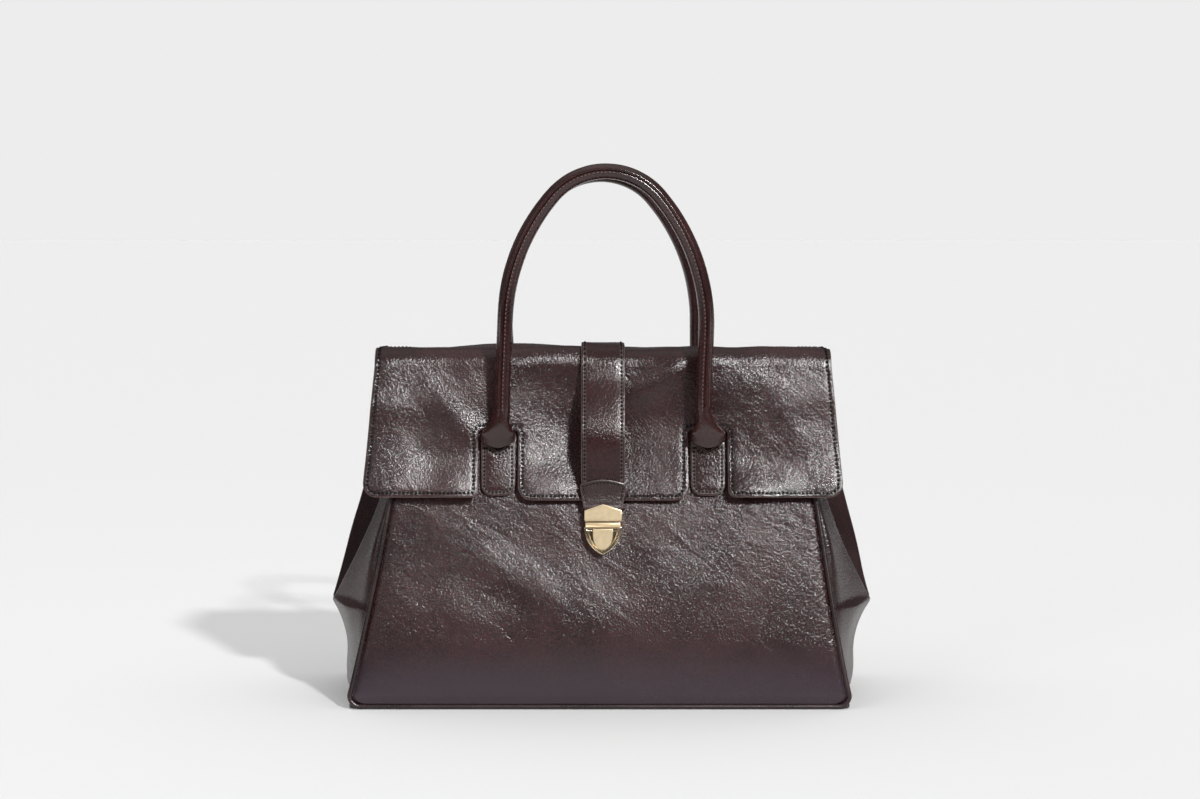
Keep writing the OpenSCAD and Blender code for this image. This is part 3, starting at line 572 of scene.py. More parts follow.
def make_panel(name, wall_at, top_w, facing, node):
    """A soft panel between its seams, drawn in where it meets the piping."""
    columns, rows = 72, 56

    def place(i, j):
        share = j / rows
        z = lerp(LOW_Z, BODY_H, share ** 1.25)
        w = half_w(z, top_w)
        if z - LOW_Z < PANEL_CORNER_R:
            w -= PANEL_CORNER_R - sqrt(PANEL_CORNER_R ** 2 - (PANEL_CORNER_R - z + LOW_Z) ** 2)
        s = sin(pi / 2 * (2 * i / columns - 1))
        drawn_in = 1.3 * bell((1 - abs(s)) / 0.012) + 1.2 * bell((z - LOW_Z) / 3.5)
        return wall_at(s * w * facing, z, -drawn_in)

    piece(name, skin(columns, rows, place), [PANEL_CALF, EDGE], "bag", [node], wall=PANEL_T)


make_panel("front_wall_leather", front_wall, FRONT_TOP_W, 1, "front_panel")
make_panel("back_wall_leather", back_wall, BACK_TOP_W, -1, "back_panel")


def make_base():
    bm = bmesh.new()
    x, y = BASE_W / 2, BASE_D / 2 - PIPING_D / 2 * 1.4 - SEAT
    spots = [bm.verts.new((sx * x, sy * y, 0)) for sx, sy in ((1, 1), (-1, 1), (-1, -1), (1, -1))]
    bm.faces.new(spots)
    bmesh.ops.bevel(bm, geom=spots, offset=PANEL_CORNER_R, segments=8, profile=0.5, affect="VERTICES", material=-1)
    lifted = bmesh.ops.extrude_face_region(bm, geom=bm.faces[:])["geom"]
    bmesh.ops.translate(bm, verts=[g for g in lifted if isinstance(g, bmesh.types.BMVert)], vec=(0, 0, BASE_T))
    bmesh.ops.recalc_face_normals(bm, faces=bm.faces)
    piece("base_leather", bm, [PANEL_CALF], "bag", ["base_panel"], bevel=0.8)


make_base()

# Places across the gusset, 0 at its front seam and 8 at its back one, and heights; both crowd at its folds
GUSSET_COLUMNS = [0, 0.12, 0.25, 0.38, 0.6, 1, 1.5, 1.8, 2, 2.2, 2.6, 3.2, 3.75, 4, 4.25, 4.8, 5.4, 5.8, 6, 6.2, 6.5,
                  7, 7.4, 7.62, 7.75, 7.88, 8]
GUSSET_ROWS = [3.1, 6, 10, 15, 22, 32, 43, 53, 61, 66.5, 70, 73, 77, 83, 91, 101, 113, 127, 143, 161, 181, 203,
               227, 250]


def make_gusset(name, side, node):
    """One end of the bag: flat at the base, out to a tip, then tucked in between two folds, and rolled at its seams."""
    def place(i, j):
        z = GUSSET_ROWS[j]
        c = GUSSET_COLUMNS[i if side > 0 else len(GUSSET_COLUMNS) - 1 - i]
        p = along(gusset_line(z), c)
        soft = sin(pi * c / 8) * (1.6 * soft_noise(p.x * side, p.y, z, 34) + 0.6 * soft_noise(p.x * side, p.y, z, 15))
        bulge = sin(pi * c / 8) ** 2 * (3.4 * bell((z - 112) / 34) - 1.2 * bell((z - 40) / 20))
        near = min(c, 8 - c)
        roll = 5 * ease(near / 0.35) * max(0, 1 - near / 2) * bell((z - 112) / 42)
        y = p.y * (1 - tuck(z) / half_d(z)) + (roll if c > 4 else -roll)
        return Vector((side * (p.x + soft + bulge + 1.2 * roll), y, z))

    bm = skin(len(GUSSET_COLUMNS) - 1, len(GUSSET_ROWS) - 1, place)
    piece(name, bm, [GUSSET_CALF], "bag", [node], wall=GUSSET_T, subdivide=2, sharp=60)


make_gusset("gusset_left_leather", -1, "gusset_left")
make_gusset("gusset_right_leather", 1, "gusset_right")


def piping_route(top_w):
    """The piping's middle line from one side of the mouth, round the base seam, to the other: (x, z)."""
    out = PIPING_D / 2 + SEAT
    low = LOW_Z - out
    r = PANEL_CORNER_R + out
    side = [(half_w(z, top_w) + out, z) for z in [lerp(BODY_H - PIPING_D / 2, low + r, i / 34) for i in range(35)]]
    x0 = side[-1][0] - r
    turn = [(x0 + r * cos(a), low + r - r * sin(a)) for a in [pi / 2 * i / 8 for i in range(1, 9)]]
    foot = [(x0 * (1 - i / 30), low) for i in range(1, 31)]
    half = side + turn + foot
    return half + [(-x, z) for x, z in half[-2::-1]]


def tube(route, radius, sides=12, lobes=0, lay_turn=0):
    """A round cord of a radius along points; lobes give it the lay of a rope."""
    def place(i, j):
        here = route[j]
        way = (route[min(j + 1, len(route) - 1)] - route[max(j - 1, 0)]).normalized()
        u = way.cross(Vector((0, 1, 0))).normalized()
        v = way.cross(u)
        a = 2 * pi * (i % sides) / sides
        r = radius * (1 + (0.09 * cos(lobes * (a + lay_turn * j)) if lobes else 0))
        return here + (u * cos(a) + v * sin(a)) * r

    return skin(sides, len(route) - 1, place, closed=True)


def make_piping(name, y_side, top_w, node):
    points = [Vector((x, y_side * (half_d(z) - tuck(z) - PIPING_D / 2 * 0.4), z)) for x, z in piping_route(top_w)]
    piece(name, tube(points, PIPING_D / 2), [PIPING_CALF], "bag", [node])


make_piping("front_piping_leather", -1, FRONT_TOP_W, "front_piping")
make_piping("back_piping_leather", 1, BACK_TOP_W, "back_piping")


# Inside: lining, facing, pocket

def inside_ring(z, inset):
    """Points round the inside of the bag: right side, back, left side and front."""
    half = half_d(z) - tuck(z) - PANEL_T - SEAT - inset
    side = [along(gusset_line(z), c / 2) for c in range(17)]
    right = [Vector((p.x - GUSSET_T - LINING_SLACK - inset, max(-half, min(half, p.y)), z)) for p in side]
    left = [Vector((-p.x, p.y, z)) for p in right[::-1]]
    back = [right[-1].lerp(left[0], i / 16) for i in range(1, 16)]
    front = [left[-1].lerp(right[0], i / 16) for i in range(1, 16)]
    for p in front:
        p.y += sink(p.x, z) - 0.6 * max(0, belly(p.x, z, FRONT_TOP_W, FRONT_SEED))
    return right + back + left + front


def make_lining():
    top = BODY_H - FACING_H - SEAT
    heights = [5.9, 9, 13, 19, 28, 42, 54, 63, 68, 72, 78, 88, 102, 118, 136, 156, 176, 196, top]
    rings = [inside_ring(z, LINING_GAP) for z in heights]
    count = len(rings[0])

    def place(i, j):
        p = rings[j][i % count]
        slack = 0.7 * abs(soft_noise(p.x, p.y, p.z, 22))
        return p - Vector((p.x, p.y, 0)).normalized() * slack

    bm = skin(count, len(heights) - 1, place)
    bmesh.ops.remove_doubles(bm, verts=bm.verts, dist=0.001)
    bmesh.ops.holes_fill(bm, edges=[e for e in bm.edges if e.is_boundary and e.verts[0].co.z < 10], sides=0)
    bmesh.ops.recalc_face_normals(bm, faces=bm.faces)
    if max(bm.faces, key=lambda f: f.calc_center_median().x).normal.x < 0:
        bmesh.ops.reverse_faces(bm, faces=bm.faces)
    piece("lining_cloth", bm, [LINING], "bag", ["lining"], wall=LINING_T)


def make_facing():
    heights = [BODY_H - FACING_H * (1 - i / 6) for i in range(7)]
    rings = [inside_ring(z, LINING_GAP) for z in heights]
    rings += [inside_ring(z, LINING_GAP + FACING_T) for z in heights[::-1]]
    count = len(rings[0])
    bm = skin(count, len(rings), lambda i, j: rings[j % len(rings)][i % count], closed=True)
    piece("mouth_facing_leather", bm, [INNER_CALF], "bag", ["mouth_facing"])


def inner_back(x, z, out=0):
    """A point in front of the inside of the back wall."""
    near = PANEL_T + SEAT + LINING_GAP + LINING_T + 0.3
    return Vector((x, half_d(z) - near - out, z))


def make_pocket():
    top, w = BODY_H - FACING_H - POCKET_DROP, POCKET_W / 2
    corners = [(-w, POCKET_Z, 6), (w, POCKET_Z, 6), (w, top, 0), (-w, top, 0)]
    bm, line = cut_leather(corners, step=8, seam=2.4, groove=0.2)

    def place(x, q, h):
        gape = 1.6 * bell((q - top) / 12) * max(0, 1 - (x / w) ** 2)
        return inner_back(x, q, POCKET_T + h + gape)

    piece("inner_pocket_cloth", lay(bm, place), [LINING, EDGE], "bag", ["inner_pocket"], wall=POCKET_T)
    sewn = stitches(line, place, keep=lambda x, q: q < top - 4)
    piece("inner_pocket_stitches", sewn, [THREAD_AND_HOLE_SHADE], "bag")


make_lining()
make_facing()
make_pocket()


# Handles: tabs, flared ends, leather tubes and rope cores

def make_tab(name, x0, wall_at, node, back):
    """A handle tab with a notched top, sewn on a wall."""
    h = TAB_W / 2
    corners = [(x0 - h, TAB_LOW_Z, TAB_CORNER_R), (x0 + h, TAB_LOW_Z, TAB_CORNER_R), (x0 + h, TAB_TOP_Z, 1.2),
               (x0, TAB_TOP_Z - NOTCH_H, 2), (x0 - h, TAB_TOP_Z, 1.2)]
    bm, line = cut_leather(corners, step=3.5, seam=2.4, groove=0.3)

    def place(x, q, height):
        crown = 0.5 * max(0, 1 - ((x - x0) / h) ** 2)
        return wall_at(x, q, SEAT + TAB_T + height + crown)

    piece(name, lay(bm, place, back), [STRAP_CALF, EDGE], "bag", [node], wall=TAB_T + 0.5)
    piece(name + "_stitches", stitches(line, place, pitch=2.7), [THREAD_AND_HOLE_SHADE], "bag")


for label, x_side in (("left", -1), ("right", 1)):
    make_tab("front_tab_%s_leather" % label, x_side * TAB_X, front_wall, "front_tab_" + label, False)
    make_tab("back_tab_%s_leather" % label, x_side * TAB_X, back_wall, "back_tab_" + label, True)


# How far a leg reaches down into its flared end, and how far round from the seam's groove its stitches stand
FOOT_H, SEWN_RIDGE = 7, 0.24


def handle_line(leg_steps=14, side_steps=20, crown_steps=22):
    """The handle's middle line from its left foot over the crown: (x, z, turn of its outer side from +X)."""
    crown_z = HANDLE_TOP_Z - HANDLE_D / 2 - CROWN_R
    turn = acos((SIDE_R - LEG_X) / (SIDE_R - CROWN_R))
    leg_top = crown_z - (SIDE_R - CROWN_R) * sin(turn)
    half = [(LEG_X, lerp(BELL_TOP_Z - FOOT_H, leg_top, i / leg_steps), 0) for i in range(leg_steps + 1)]
    for i in range(1, side_steps + 1):
        a = turn * i / side_steps
        half.append((LEG_X - SIDE_R + SIDE_R * cos(a), leg_top + SIDE_R * sin(a), a))
    for i in range(1, crown_steps + 1):
        a = lerp(turn, pi / 2, i / crown_steps)
        half.append((CROWN_R * cos(a), crown_z + CROWN_R * sin(a), a))
    return [(-x, z, pi - a) for x, z, a in half] + half[-2::-1]


HANDLE_LINE = handle_line()


def handle_seam(j):
    """Where the sewn seam stands round the handle, turned from its outer side to the front."""
    return radians(lerp(79, 88, j / (len(HANDLE_LINE) - 1)))


def handle_point(j, a, r, y_side):
    """A point round the handle's line; the front handle sways a little to the right, the back one to the left."""
    x, z, turn = HANDLE_LINE[j]
    sway = ease((z - BELL_TOP_Z) / 70) * (2 if y_side < 0 else -1.5)
    spread = 1 + (0 if y_side < 0 else 0.02) * ease((z - BELL_TOP_Z) / 70)
    return Vector((x * spread + sway + r * cos(a) * cos(turn), y_side * (HANDLE_Y + r * sin(a)),
                   z + r * cos(a) * sin(turn)))


def make_handle(label, y_side, body):
    """A leather tube, closed by a seam that stands up as two ridges with a groove between, and sewn on one of them."""
    sides, rows = 56, len(HANDLE_LINE) - 1

    def place(i, j):
        off = 2 * pi * (i % sides) / sides - pi
        off -= 0.75 * sin(off)  # columns crowd at the seam
        a = handle_seam(j) + off
        ridge = 0.6 * bell((off - SEWN_RIDGE) / 0.16) + bell((off + 0.25) / 0.19) - 0.6 * bell(off / 0.06)
        x, z = HANDLE_LINE[j][:2]
        ridge -= 0.12 * HANDLE_D / 2 * ease((BELL_TOP_Z - z) / FOOT_H)
        pucker = 0.1 * soft_noise(x, a * 20, z, 9)
        return handle_point(j, a, HANDLE_D / 2 + ridge + pucker, y_side)

    piece(label + "_handle_leather", skin(sides, rows, place, closed=True), [HANDLE_CALF], body,
          [label + "_handle"])
    points = [handle_point(j, 0, 0, y_side) for j in range(rows + 1)]
    piece(label + "_handle_rope", tube(points, CORE_D / 2 - 0.2, sides=18, lobes=3, lay_turn=0.5), [ROPE], body,
          [label + "_handle_core"])

    run = [Vector((x, z)) for x, z, turn in HANDLE_LINE]
    lengths = [0]
    for p, q in zip(run, run[1:]):
        lengths.append(lengths[-1] + (q - p).length)

    def on_seam(length, side, height):
        j = max(k for k in range(rows) if lengths[k] <= max(0, length))
        share = (length - lengths[j]) / (lengths[j + 1] - lengths[j])
        a = handle_seam(j + share) + SEWN_RIDGE + side / HANDLE_D * 2
        r = HANDLE_D / 2 + 0.55 + height
        return handle_point(j, a, r, y_side).lerp(handle_point(j + 1, a, r, y_side), share)

    sewn = stitches([Vector((4, 0)), Vector((lengths[-1] - 4, 0))], on_seam, closed=False, pitch=3, width=0.4)
    piece(label + "_handle_stitches", sewn, [HANDLE_THREAD], body)


def flare(x_side, y_side):
    """A handle's flared end: round at the leg, then wide and flat, down to a V point that stands off the tab."""
    sides, bell_rows, point_rows = 32, 18, 8

    def place(i, j):
        t = 2 * pi * (i % sides) / sides
        c, s = cos(t), sin(t)
        share = min(1, j / bell_rows)
        wide = share ** 2.5
        a, b = lerp(HANDLE_D / 2, BELL_W / 2, wide), lerp(HANDLE_D / 2, BELL_T / 2, wide)
        power = lerp(1, 0.9, wide)
        sx = (1 if c > 0 else -1) * abs(c) ** power
        sy = (1 if s > 0 else -1) * abs(s) ** power
        z = lerp(BELL_TOP_Z, BELL_LOW_Z, share)
        down = max(0, j - bell_rows) / point_rows
        foot = TAB_TOP_Z - 0.2 - 4.6 * (1 - abs(sx) ** 1.6)
        z = lerp(z, foot, down)
        thin = 1 - 0.38 * down ** 2
        x = lerp(LEG_X, TAB_X, share) + a * sx * (1 - 0.03 * down)
        swell = 1.6 * bell((share + down - 1) / 0.6) * max(0, s)
        y = HANDLE_Y - 1.2 * share ** 2 - 3 * down + b * sy * thin + swell
        return Vector((x_side * x, y_side * y, z))

    return skin(sides, bell_rows + point_rows, place, closed=True)


def make_flares(label, y_side, body):
    both = joined([flare(x_side, y_side) for x_side in (-1, 1)])
    piece(label + "_handle_flares", both, [HANDLE_CALF], body, [label + "_handle_ends"])


for label, y_side in (("front", -1), ("back", 1)):
    make_handle(label, y_side, label + "_handle")
    make_flares(label, y_side, label + "_handle")


# Flap: draped from its band on the back panel over the mouth to its slotted front

LEAN = atan((half_d(240) - half_d(248)) / 8)
TURN_Z = FLAP_Z - ROLL_R + ROLL_R * sin(LEAN)
ROLL_Y = -half_d(TURN_Z) - FLAP_GAP + ROLL_R * cos(LEAN)
ROLL_LENGTH = ROLL_R * (pi / 2 - LEAN)
BACK_Y = half_d(BODY_H) + SEAT - BACK_ROLL_R
TOP_Q = TURN_Z + ROLL_LENGTH
BACK_Q = TOP_Q + BACK_Y - ROLL_Y
BAND_Q = BACK_Q + BACK_ROLL_R * pi / 2
END_Q = BAND_Q + FLAP_Z - BACK_ROLL_R - ANCHOR_LOW_Z
HINGE_Q = BACK_Q + 2


def drape(x, q, off):
    """A point off the flap's underside; q is the height on the front, and goes on over the top and down the back."""
    if q < TURN_Z:
        slope = atan((half_d(q - 1) - half_d(q + 1)) / 2)
        base, out = Vector((-half_d(q) - FLAP_GAP, q)), Vector((-cos(slope), sin(slope)))
    elif q < TOP_Q:
        a = pi - LEAN - (q - TURN_Z) / ROLL_R
        out = Vector((cos(a), sin(a)))
        base = Vector((ROLL_Y, FLAP_Z - ROLL_R)) + out * ROLL_R
    elif q < BACK_Q:
        base, out = Vector((ROLL_Y + q - TOP_Q, FLAP_Z)), Vector((0, 1))
    elif q < BAND_Q:
        a = pi / 2 - (q - BACK_Q) / BACK_ROLL_R
        out = Vector((cos(a), sin(a)))
        base = Vector((BACK_Y, FLAP_Z - BACK_ROLL_R)) + out * BACK_ROLL_R
    else:
        z = FLAP_Z - BACK_ROLL_R - (q - BAND_Q)
        base, out = Vector((half_d(z) + SEAT, z)), Vector((1, 0))
    p = base + out * off
    sunk = sink(x, q) if q < TOP_Q else 0
    return Vector((x, p.x + sunk, p.y))


# Soft ridges and one hollow in the flap, as swelling() reads them; the first is the hump behind the left handle
FLAP_RIDGES = [(4.5, -66, 34, BACK_Q - 22, 20, 0), (3.6, 44, 26, 235.5, 9, 0.5), (1.6, -103, 22, 205, 10, -0.9),
               (2.6, -148, 22, 160, 24, 0), (1.4, 118, 34, 226, 14, 0), (-1.6, -34, 20, 226, 14, 0)]
# Where the flap's lower edge lifts most: rise, x and reach
FLAP_LIFTS = [(4.5, -105, 24), (3.5, -38, 20), (3.5, 110, 26)]
EDGE_LIFT, REAR_DROOP = 2.6, 2.9


def flap_wave(x, q):
    """Slow waves of the flap's leather, quiet by the flared ends and the hinge, with its ridges, a lifted lower edge
    and a droop at the back of the mouth."""
    slow = 1.9 * soft_noise(x, q, 31, 44) + 0.8 * soft_noise(x, q * 1.3, 12, 21)
    slow *= (1 - 0.85 * bell((abs(x) - TAB_X) / 20) * bell((q - 195) / 26)) * ease((BACK_Q - q) / 25)
    lift = EDGE_LIFT + sum(rise * bell((x - at) / reach) for rise, at, reach in FLAP_LIFTS)
    lift *= ease((182 - q) / 34) * (0.5 + 0.5 * ease((abs(x) - 50) / 60))
    ridges = swelling(x, q, FLAP_RIDGES) + bell((q - 222) / 18) * (0.7 + 0.6 * soft_noise(x, 7, 3, 50))
    ridges += 1.2 * bell((x + 46 - (q - 250) * 1.5) / 20) * bell((q - 250) / 16)
    rear = ease((q - TOP_Q) / (BACK_Q - TOP_Q)) * ease((BAND_Q + 8 - q) / 8)
    return slow + lift + ridges + 0.8 * bell((q - TURN_Z - 12) / 10) - REAR_DROOP * rear


def on_flap(x, q, height):
    return drape(x, q, FLAP_FACE + height + flap_wave(x, q))


def flap_corners(m=0, q_rear=None):
    """The flap's outline at a margin m, with its band on the back panel, or cut off straight at q_rear."""
    w1, w0 = FLAP_TOP_W / 2 - m, FLAP_LOW_W / 2 - m
    s0, s1 = TAB_X - SLOT_W / 2 - m, TAB_X + SLOT_W / 2 + m
    low, tongue, slot = FLAP_LOW_Z + m, TONGUE_LOW_Z + m, SLOT_TOP_Z + m
    r = FLAP_CORNER_R - m
    right = [(s0, tongue, r), (s0, slot, 3), (s1, slot, 3), (s1, low, r / 2), (w0, low, r), (w1 + 1.2, TURN_Z, 0)]
    if q_rear is None:
        right += [(w1, HINGE_Q - 2, 3), (ANCHOR_W / 2, HINGE_Q + 3, 4), (ANCHOR_W / 2, END_Q, 4)]
    else:
        right += [(w1, q_rear, 0)]
    return right + [(-x, q, r) for x, q, r in right[::-1]]


# The ends, in metres, of the span that bends as the flap opens
HINGE_SPAN = ((0, 48.6 * MM, 246.5 * MM), (0, 36 * MM, 256.6 * MM))


def make_flap():
    roll = [TURN_Z - 2.5 + 2.5 * i for i in range(9)] + [BACK_Q - 2 + 2 * i for i in range(8)]
    bm, line = cut_leather(flap_corners(), step=5, fine=roll)
    piece("flap_leather", lay(bm, on_flap), [FLAP_CALF, EDGE], None, ["flap", "flap_anchor"],
          wall=FLAP_T, hinge=HINGE_SPAN)
    sewn = stitches(line, on_flap, width=1.15)
    piece("flap_stitches", sewn, [THREAD_AND_HOLE_SHADE], None, hinge=HINGE_SPAN)


def make_flap_lining():
    rear = BACK_Q - 2
    bm, line = cut_leather(flap_corners(1.6, rear), step=8, seam=0, fine=[TURN_Z + 3 * i for i in range(6)])

    def place(x, q, height):
        return drape(x, q, FLAP_LINING_T + flap_wave(x, q))

    piece("flap_inner_leather", lay(bm, place), [INNER_CALF], "flap", ["flap_lining"],
          wall=FLAP_LINING_T * 0.9)


make_flap()
make_flap_lining()


# Strap and patch; the strap bows out further than the source's stiff one
BOW_MORE = 1.45


def strap_free(q):
    """How freely the strap hangs off the flap: 0 at the lock and at the top, 1 halfway between."""
    low = LOCK_Z + 14
    return sin(pi * max(0, min(1, (q - low) / (FLAP_Z - ROLL_R - low)))) ** 2


def on_strap(x, q, height):
    """A point off the strap's face; it doesn't sink in with the flap, and lies close to it only at its two ends."""
    crown = 0.35 * max(0, 1 - (x / STRAP_W * 2) ** 2)
    wave = flap_wave(x, q) * ease((q - 150) / 14) * (1 - strap_free(q))
    p = drape(x, q, STRAP_OFF + STRAP_T + height + crown + wave + STRAP_BOW * BOW_MORE * strap_free(q))
    return p - Vector((0, sink(x, q) * ease((TOP_Q - q) / 20), 0))


def make_strap():
    h, e = STRAP_W / 2, PATCH_LOW_W / 2 - PATCH_T
    rear = BACK_Q - STRAP_REAR + 3
    corners = [(-e, STRAP_LOW_Z, PATCH_T), (e, STRAP_LOW_Z, PATCH_T), (h, PATCH_TOP_Z, 0), (h, rear, 1.5),
               (-h, rear, 1.5), (-h, PATCH_TOP_Z, 0)]
    bm, line = cut_leather(corners, step=4, seam=2.5, groove=0.3, fine=[TURN_Z + 2 * i for i in range(9)])
    piece("centre_strap_leather", lay(bm, on_strap), [STRAP_CALF, EDGE], "flap", ["centre_strap"],
          wall=STRAP_T)
    sewn = stitches(line, on_strap, pitch=2.8, keep=lambda x, q: q > PATCH_TOP_Z)
    piece("centre_strap_stitches", sewn, [THREAD_AND_HOLE_SHADE], "flap")


def make_patch():
    h, e = PATCH_W / 2, PATCH_LOW_W / 2
    low, shoulder = LOCK_Z + HASP_SHOULDER_H + 1.6, PATCH_TOP_Z - PATCH_ARCH_H
    arch = [(h, shoulder + 1.6, 2.5), (0, PATCH_TOP_Z + 1.7, 40), (-h, shoulder + 1.6, 2.5)]
    bm, line = cut_leather([(-e, low, 0), (e, low, 0)] + arch, step=3, rim=0.6, seam=2.2, groove=0.25)

    def place(x, q, height):
        return on_strap(x * STRAP_W / PATCH_W, q, SEAT + PATCH_T + height) + Vector((x * (1 - STRAP_W / PATCH_W), 0, 0))

    piece("lock_patch_leather", lay(bm, place), [PATCH_CALF, EDGE], "flap", ["lock_patch"], wall=PATCH_T)
    sewn = stitches(line, place, pitch=2.5, keep=lambda x, q: q > low + 5, width=0.45)
    piece("lock_patch_stitches", sewn, [THREAD_AND_HOLE_SHADE], "flap")


make_strap()
make_patch()


# Press lock, drawn flat with its back at Y = 0 and its front towards -Y, then laid on the front panel

LOCK_H = BAR_H + SHIELD_H + KEEP_H
LOCK_TILT = atan((half_d(LOCK_Z + KEEP_H - LOCK_H) - half_d(LOCK_Z + KEEP_H)) / LOCK_H)
AT_LOCK = Matrix.Translation((0, -half_d(LOCK_Z), LOCK_Z)) @ Matrix.Rotation(-LOCK_TILT, 4, "X")


def lock_piece(name, parts, material, body, nodes=()):
    bm = joined(parts)
    bm.transform(AT_LOCK)
    bmesh.ops.recalc_face_normals(bm, faces=bm.faces)
    piece(name, bm, [material], body, nodes, bevel=0.12, sharp=18)


def plate(corners, near, far, steps=()):
    """A metal plate of a front outline, from near to far in front of the panel.
    Its front face is then stepped inwards by pairs of an inset and a rise."""
    bm = bmesh.new()
    face = bm.faces.new([bm.verts.new((x, -near, z)) for x, z in corners])
    face.normal_update()
    if face.normal.y > 0:
        face.normal_flip()
    bmesh.ops.duplicate(bm, geom=[face])
    for inset, rise in ((0, far - near),) + tuple(steps):
        if inset:
            bmesh.ops.inset_region(bm, faces=[face], thickness=inset, use_even_offset=True)
        face = bmesh.ops.extrude_discrete_faces(bm, faces=[face])["faces"][0]
        bmesh.ops.translate(bm, verts=face.verts[:], vec=(0, -rise, 0))
    bmesh.ops.remove_doubles(bm, verts=bm.verts, dist=0.0005)
    bmesh.ops.recalc_face_normals(bm, faces=bm.faces)
    return bm


def box(w, low, high):
    return [(-w / 2, low), (w / 2, low), (w / 2, high), (-w / 2, high)]


def shield(steps=16):
    """Two arcs from the shield's shoulders to its point below."""
    w = SHIELD_W / 2
    r = (SHIELD_H ** 2 + w * w) / (2 * w)
    reach = atan2(SHIELD_H, r - w)
    side = [(w - r + r * cos(reach * i / steps), -BAR_H - r * sin(reach * i / steps)) for i in range(steps)]
    return side + [(0, -BAR_H - SHIELD_H)] + [(-x, z) for x, z in side[::-1]]


def tongue(steps=16):
    """The button's outline: sides that draw in and a round end."""
    h, top = BUTTON_W / 2, -BAR_H - BUTTON_TOP
    turn = top - BUTTON_H * 0.3
    low = [(h * cos(pi * i / steps), turn - BUTTON_H * 0.7 * sin(pi * i / steps)) for i in range(steps + 1)]
    return [(-h, top), (h, top)] + low


# How the fronts step in, by pairs of an inset and a rise: rims, grooves and the hollow that holds the button
BAR_STEPS = [(0.5, 0.3), (0.45, -0.5), (0.3, 0.4)]
CASE_STEPS = [(0.25, 0.5), (0.45, 0), (0.2, -2.6), (1.0, 0), (0.2, 1.8), (0.35, 0), (0.2, -3.2)]
CASE_BACK = 0.2


def make_lock():
    keep = plate(box(BAR_W + 1, 0, KEEP_H), CASE_BACK, STRAP_FACE - SEAT)
    bar = plate(box(BAR_W, -BAR_H, -0.9), CASE_BACK, CASE_OUT - 0.2, BAR_STEPS)
    case = plate(shield(), CASE_BACK, CASE_OUT - 1.2, CASE_STEPS)
    lock_piece("lock_case_metal", [keep, case], BRIGHT_GOLD, "bag", ["lock_case"])
    lock_piece("lock_bar_metal", [bar], GOLD, "bag")
    lock_piece("lock_button_metal", [plate(tongue(), CASE_OUT - 4.6, CASE_OUT - 0.3, [(0.3, 0.3)])], GOLD, "button",
               ["lock_button"])
    w, near = HASP_W / 2, STRAP_FACE + SEAT
    hasp = [(-w, 0.9), (w, 0.9), (w, HASP_SHOULDER_H), (0, HASP_H), (-w, HASP_SHOULDER_H)]
    lip = plate(box(HASP_W - 0.5, 0.15, 0.75), near, near + HASP_T - 0.5)
    lock_piece("hasp_plate_metal", [plate(hasp, near, near + HASP_T - 0.2, [(0.3, 0.2)]), lip], GOLD, "flap",
               ["hasp_plate"])


make_lock()


# Light, floor and camera

BACKDROP = color(237, 237, 237)
FLOOR_REACH, MIRROR_LINE = 60, -0.7
# Painted light: the floor's colour by halved distance from the bag, lighter close to it against the shade round it
FLOOR_PAINTED_LIGHT = [(0.1, 0.77), (0.25, 0.75), (0.5, 0.74), (1.0, 0.735)]
KEY_AT, KEY_POWER, SHINE_POWER = (1.345, -2.563, 1.725), 2.15, 3.7
LEFT_AT, LEFT_POWER = (-1.4, -2.1, 1.0), 8


def make_world():
    """An even backdrop, and a sky that lights from above and behind, but is dark in what mirrors it from lower down."""
    world = bpy.context.scene.world or bpy.data.worlds.new("studio")
    bpy.context.scene.world = world
    world.use_nodes = True
    tree = world.node_tree
    tree.nodes.clear()
    rays = add(tree, "LightPath")
    way = add(tree, "SeparateXYZ", {0: add(tree, "TexCoord").outputs["Generated"]})
    rise = mathed(tree, "MULTIPLY_ADD", way.outputs["Y"], 0.4, mathed(tree, "MULTIPLY", way.outputs["Z"], 0.9))
    high = ramped(tree, rise, (0.0, 0.3), (0.45, 1.0))
    less = ramped(tree, way.outputs["Z"], (0.7, 0.78), (0.92, 0.3))
    level = mathed(tree, "SUBTRACT", 0.9, mathed(tree, "MULTIPLY", rays.outputs["Is Glossy Ray"], less))
    glow = add(tree, "Background", {"Color": high, "Strength": level}).outputs[0]
    seen = add(tree, "Background", {"Color": BACKDROP}).outputs[0]
    both = add(tree, "MixShader", {0: rays.outputs["Is Camera Ray"], 1: glow, 2: seen}).outputs[0]
    add(tree, "OutputWorld", {0: both})


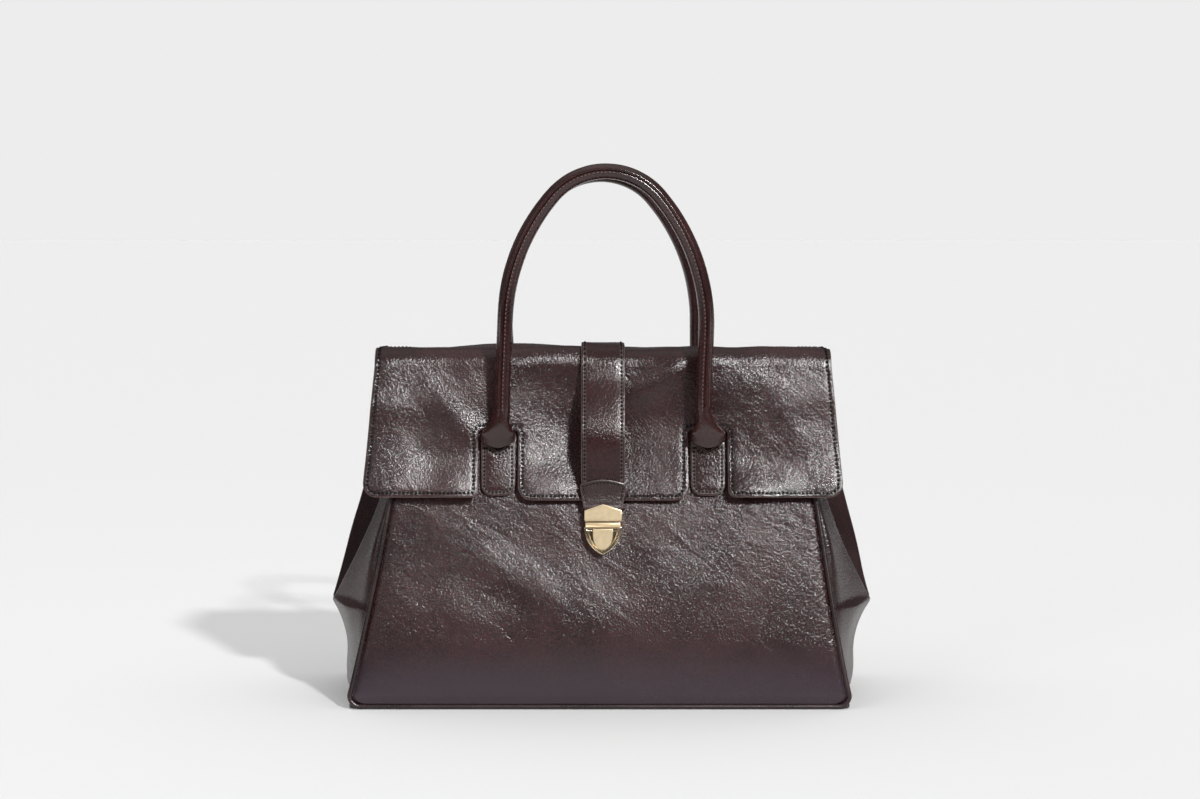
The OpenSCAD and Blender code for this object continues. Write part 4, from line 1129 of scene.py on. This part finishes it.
def make_floor():
    """A pale floor without end, painted lighter close to the bag to cancel the shade round it, and a little darker far
    off. What lies before the line isn't mirrored, so the leather's lower front stays dark.
    """
    material, tree, surface, place = new_material("studio_floor", Roughness=1.0, Specular_IOR_Level=0.0)
    far = add(tree, "VectorMath", {0: place}, operation="LENGTH").outputs["Value"]
    # Painted light: the floor is lighter close to the bag
    painted_even_light = ramped(tree, mathed(tree, "MULTIPLY", far, 0.5), *FLOOR_PAINTED_LIGHT)
    tree.links.new(painted_even_light, surface.inputs["Base Color"])
    for name, low, high in (("floor", MIRROR_LINE, FLOOR_REACH), ("floor_before", -FLOOR_REACH, MIRROR_LINE)):
        bm = bmesh.new()
        bmesh.ops.create_grid(bm, x_segments=1, y_segments=1, size=FLOOR_REACH)
        for v in bm.verts:
            v.co.y = max(low, min(high, v.co.y))
        floor = new_object(name, new_mesh(name, bm))
        floor.data.materials.append(material)
        floor.visible_glossy = name == "floor"


def lamp(name, kind, at, aim, power, **settings):
    data = bpy.data.lights.new(name, kind)
    data.energy = power
    for key, value in settings.items():
        setattr(data, key, value)
    made = new_object(name, data)
    made.location = at
    made.rotation_euler = (Vector(aim) - Vector(at)).to_track_quat("-Z", "Y").to_euler()
    return made


def make_lamps():
    """A low hard key from the front right, a wider one with its shine alone, and a broad soft lamp on the left."""
    lamp("key_lamp", "SUN", KEY_AT, (0, 0, 0), KEY_POWER, angle=radians(3.5))
    shine = lamp("key_shine", "SUN", KEY_AT, (0, 0, 0), SHINE_POWER, angle=radians(10))
    shine.visible_diffuse = False
    lamp("left_lamp", "AREA", LEFT_AT, (0, 0, 0.2), LEFT_POWER, shape="DISK", size=0.9)


def make_camera():
    """The photo's view: straight from the front, 2 m away, from above the flap and a little downwards."""
    data = bpy.data.cameras.new("camera")
    data.sensor_width = 36
    data.lens = 81.2
    camera = new_object("camera", data)
    camera.location = (-0.0022, -2.0, 0.3466)
    camera.rotation_euler = (radians(90 - 3.7), 0, 0)
    data.clip_end = FLOOR_REACH
    bpy.context.scene.camera = camera


make_world()
make_floor()
make_lamps()
make_camera()
bpy.context.scene.view_settings.view_transform = "Standard"

# Metal and board nodes that keep their own form
for node, material in (("base_board", BOARD), ("lock_backplate", STEEL), ("hasp_backplate", STEEL),
                       ("latch_spring", STEEL), ("hasp_staple", GOLD)):
    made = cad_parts[node]
    made.data.materials.clear()
    made.data.materials.append(material)
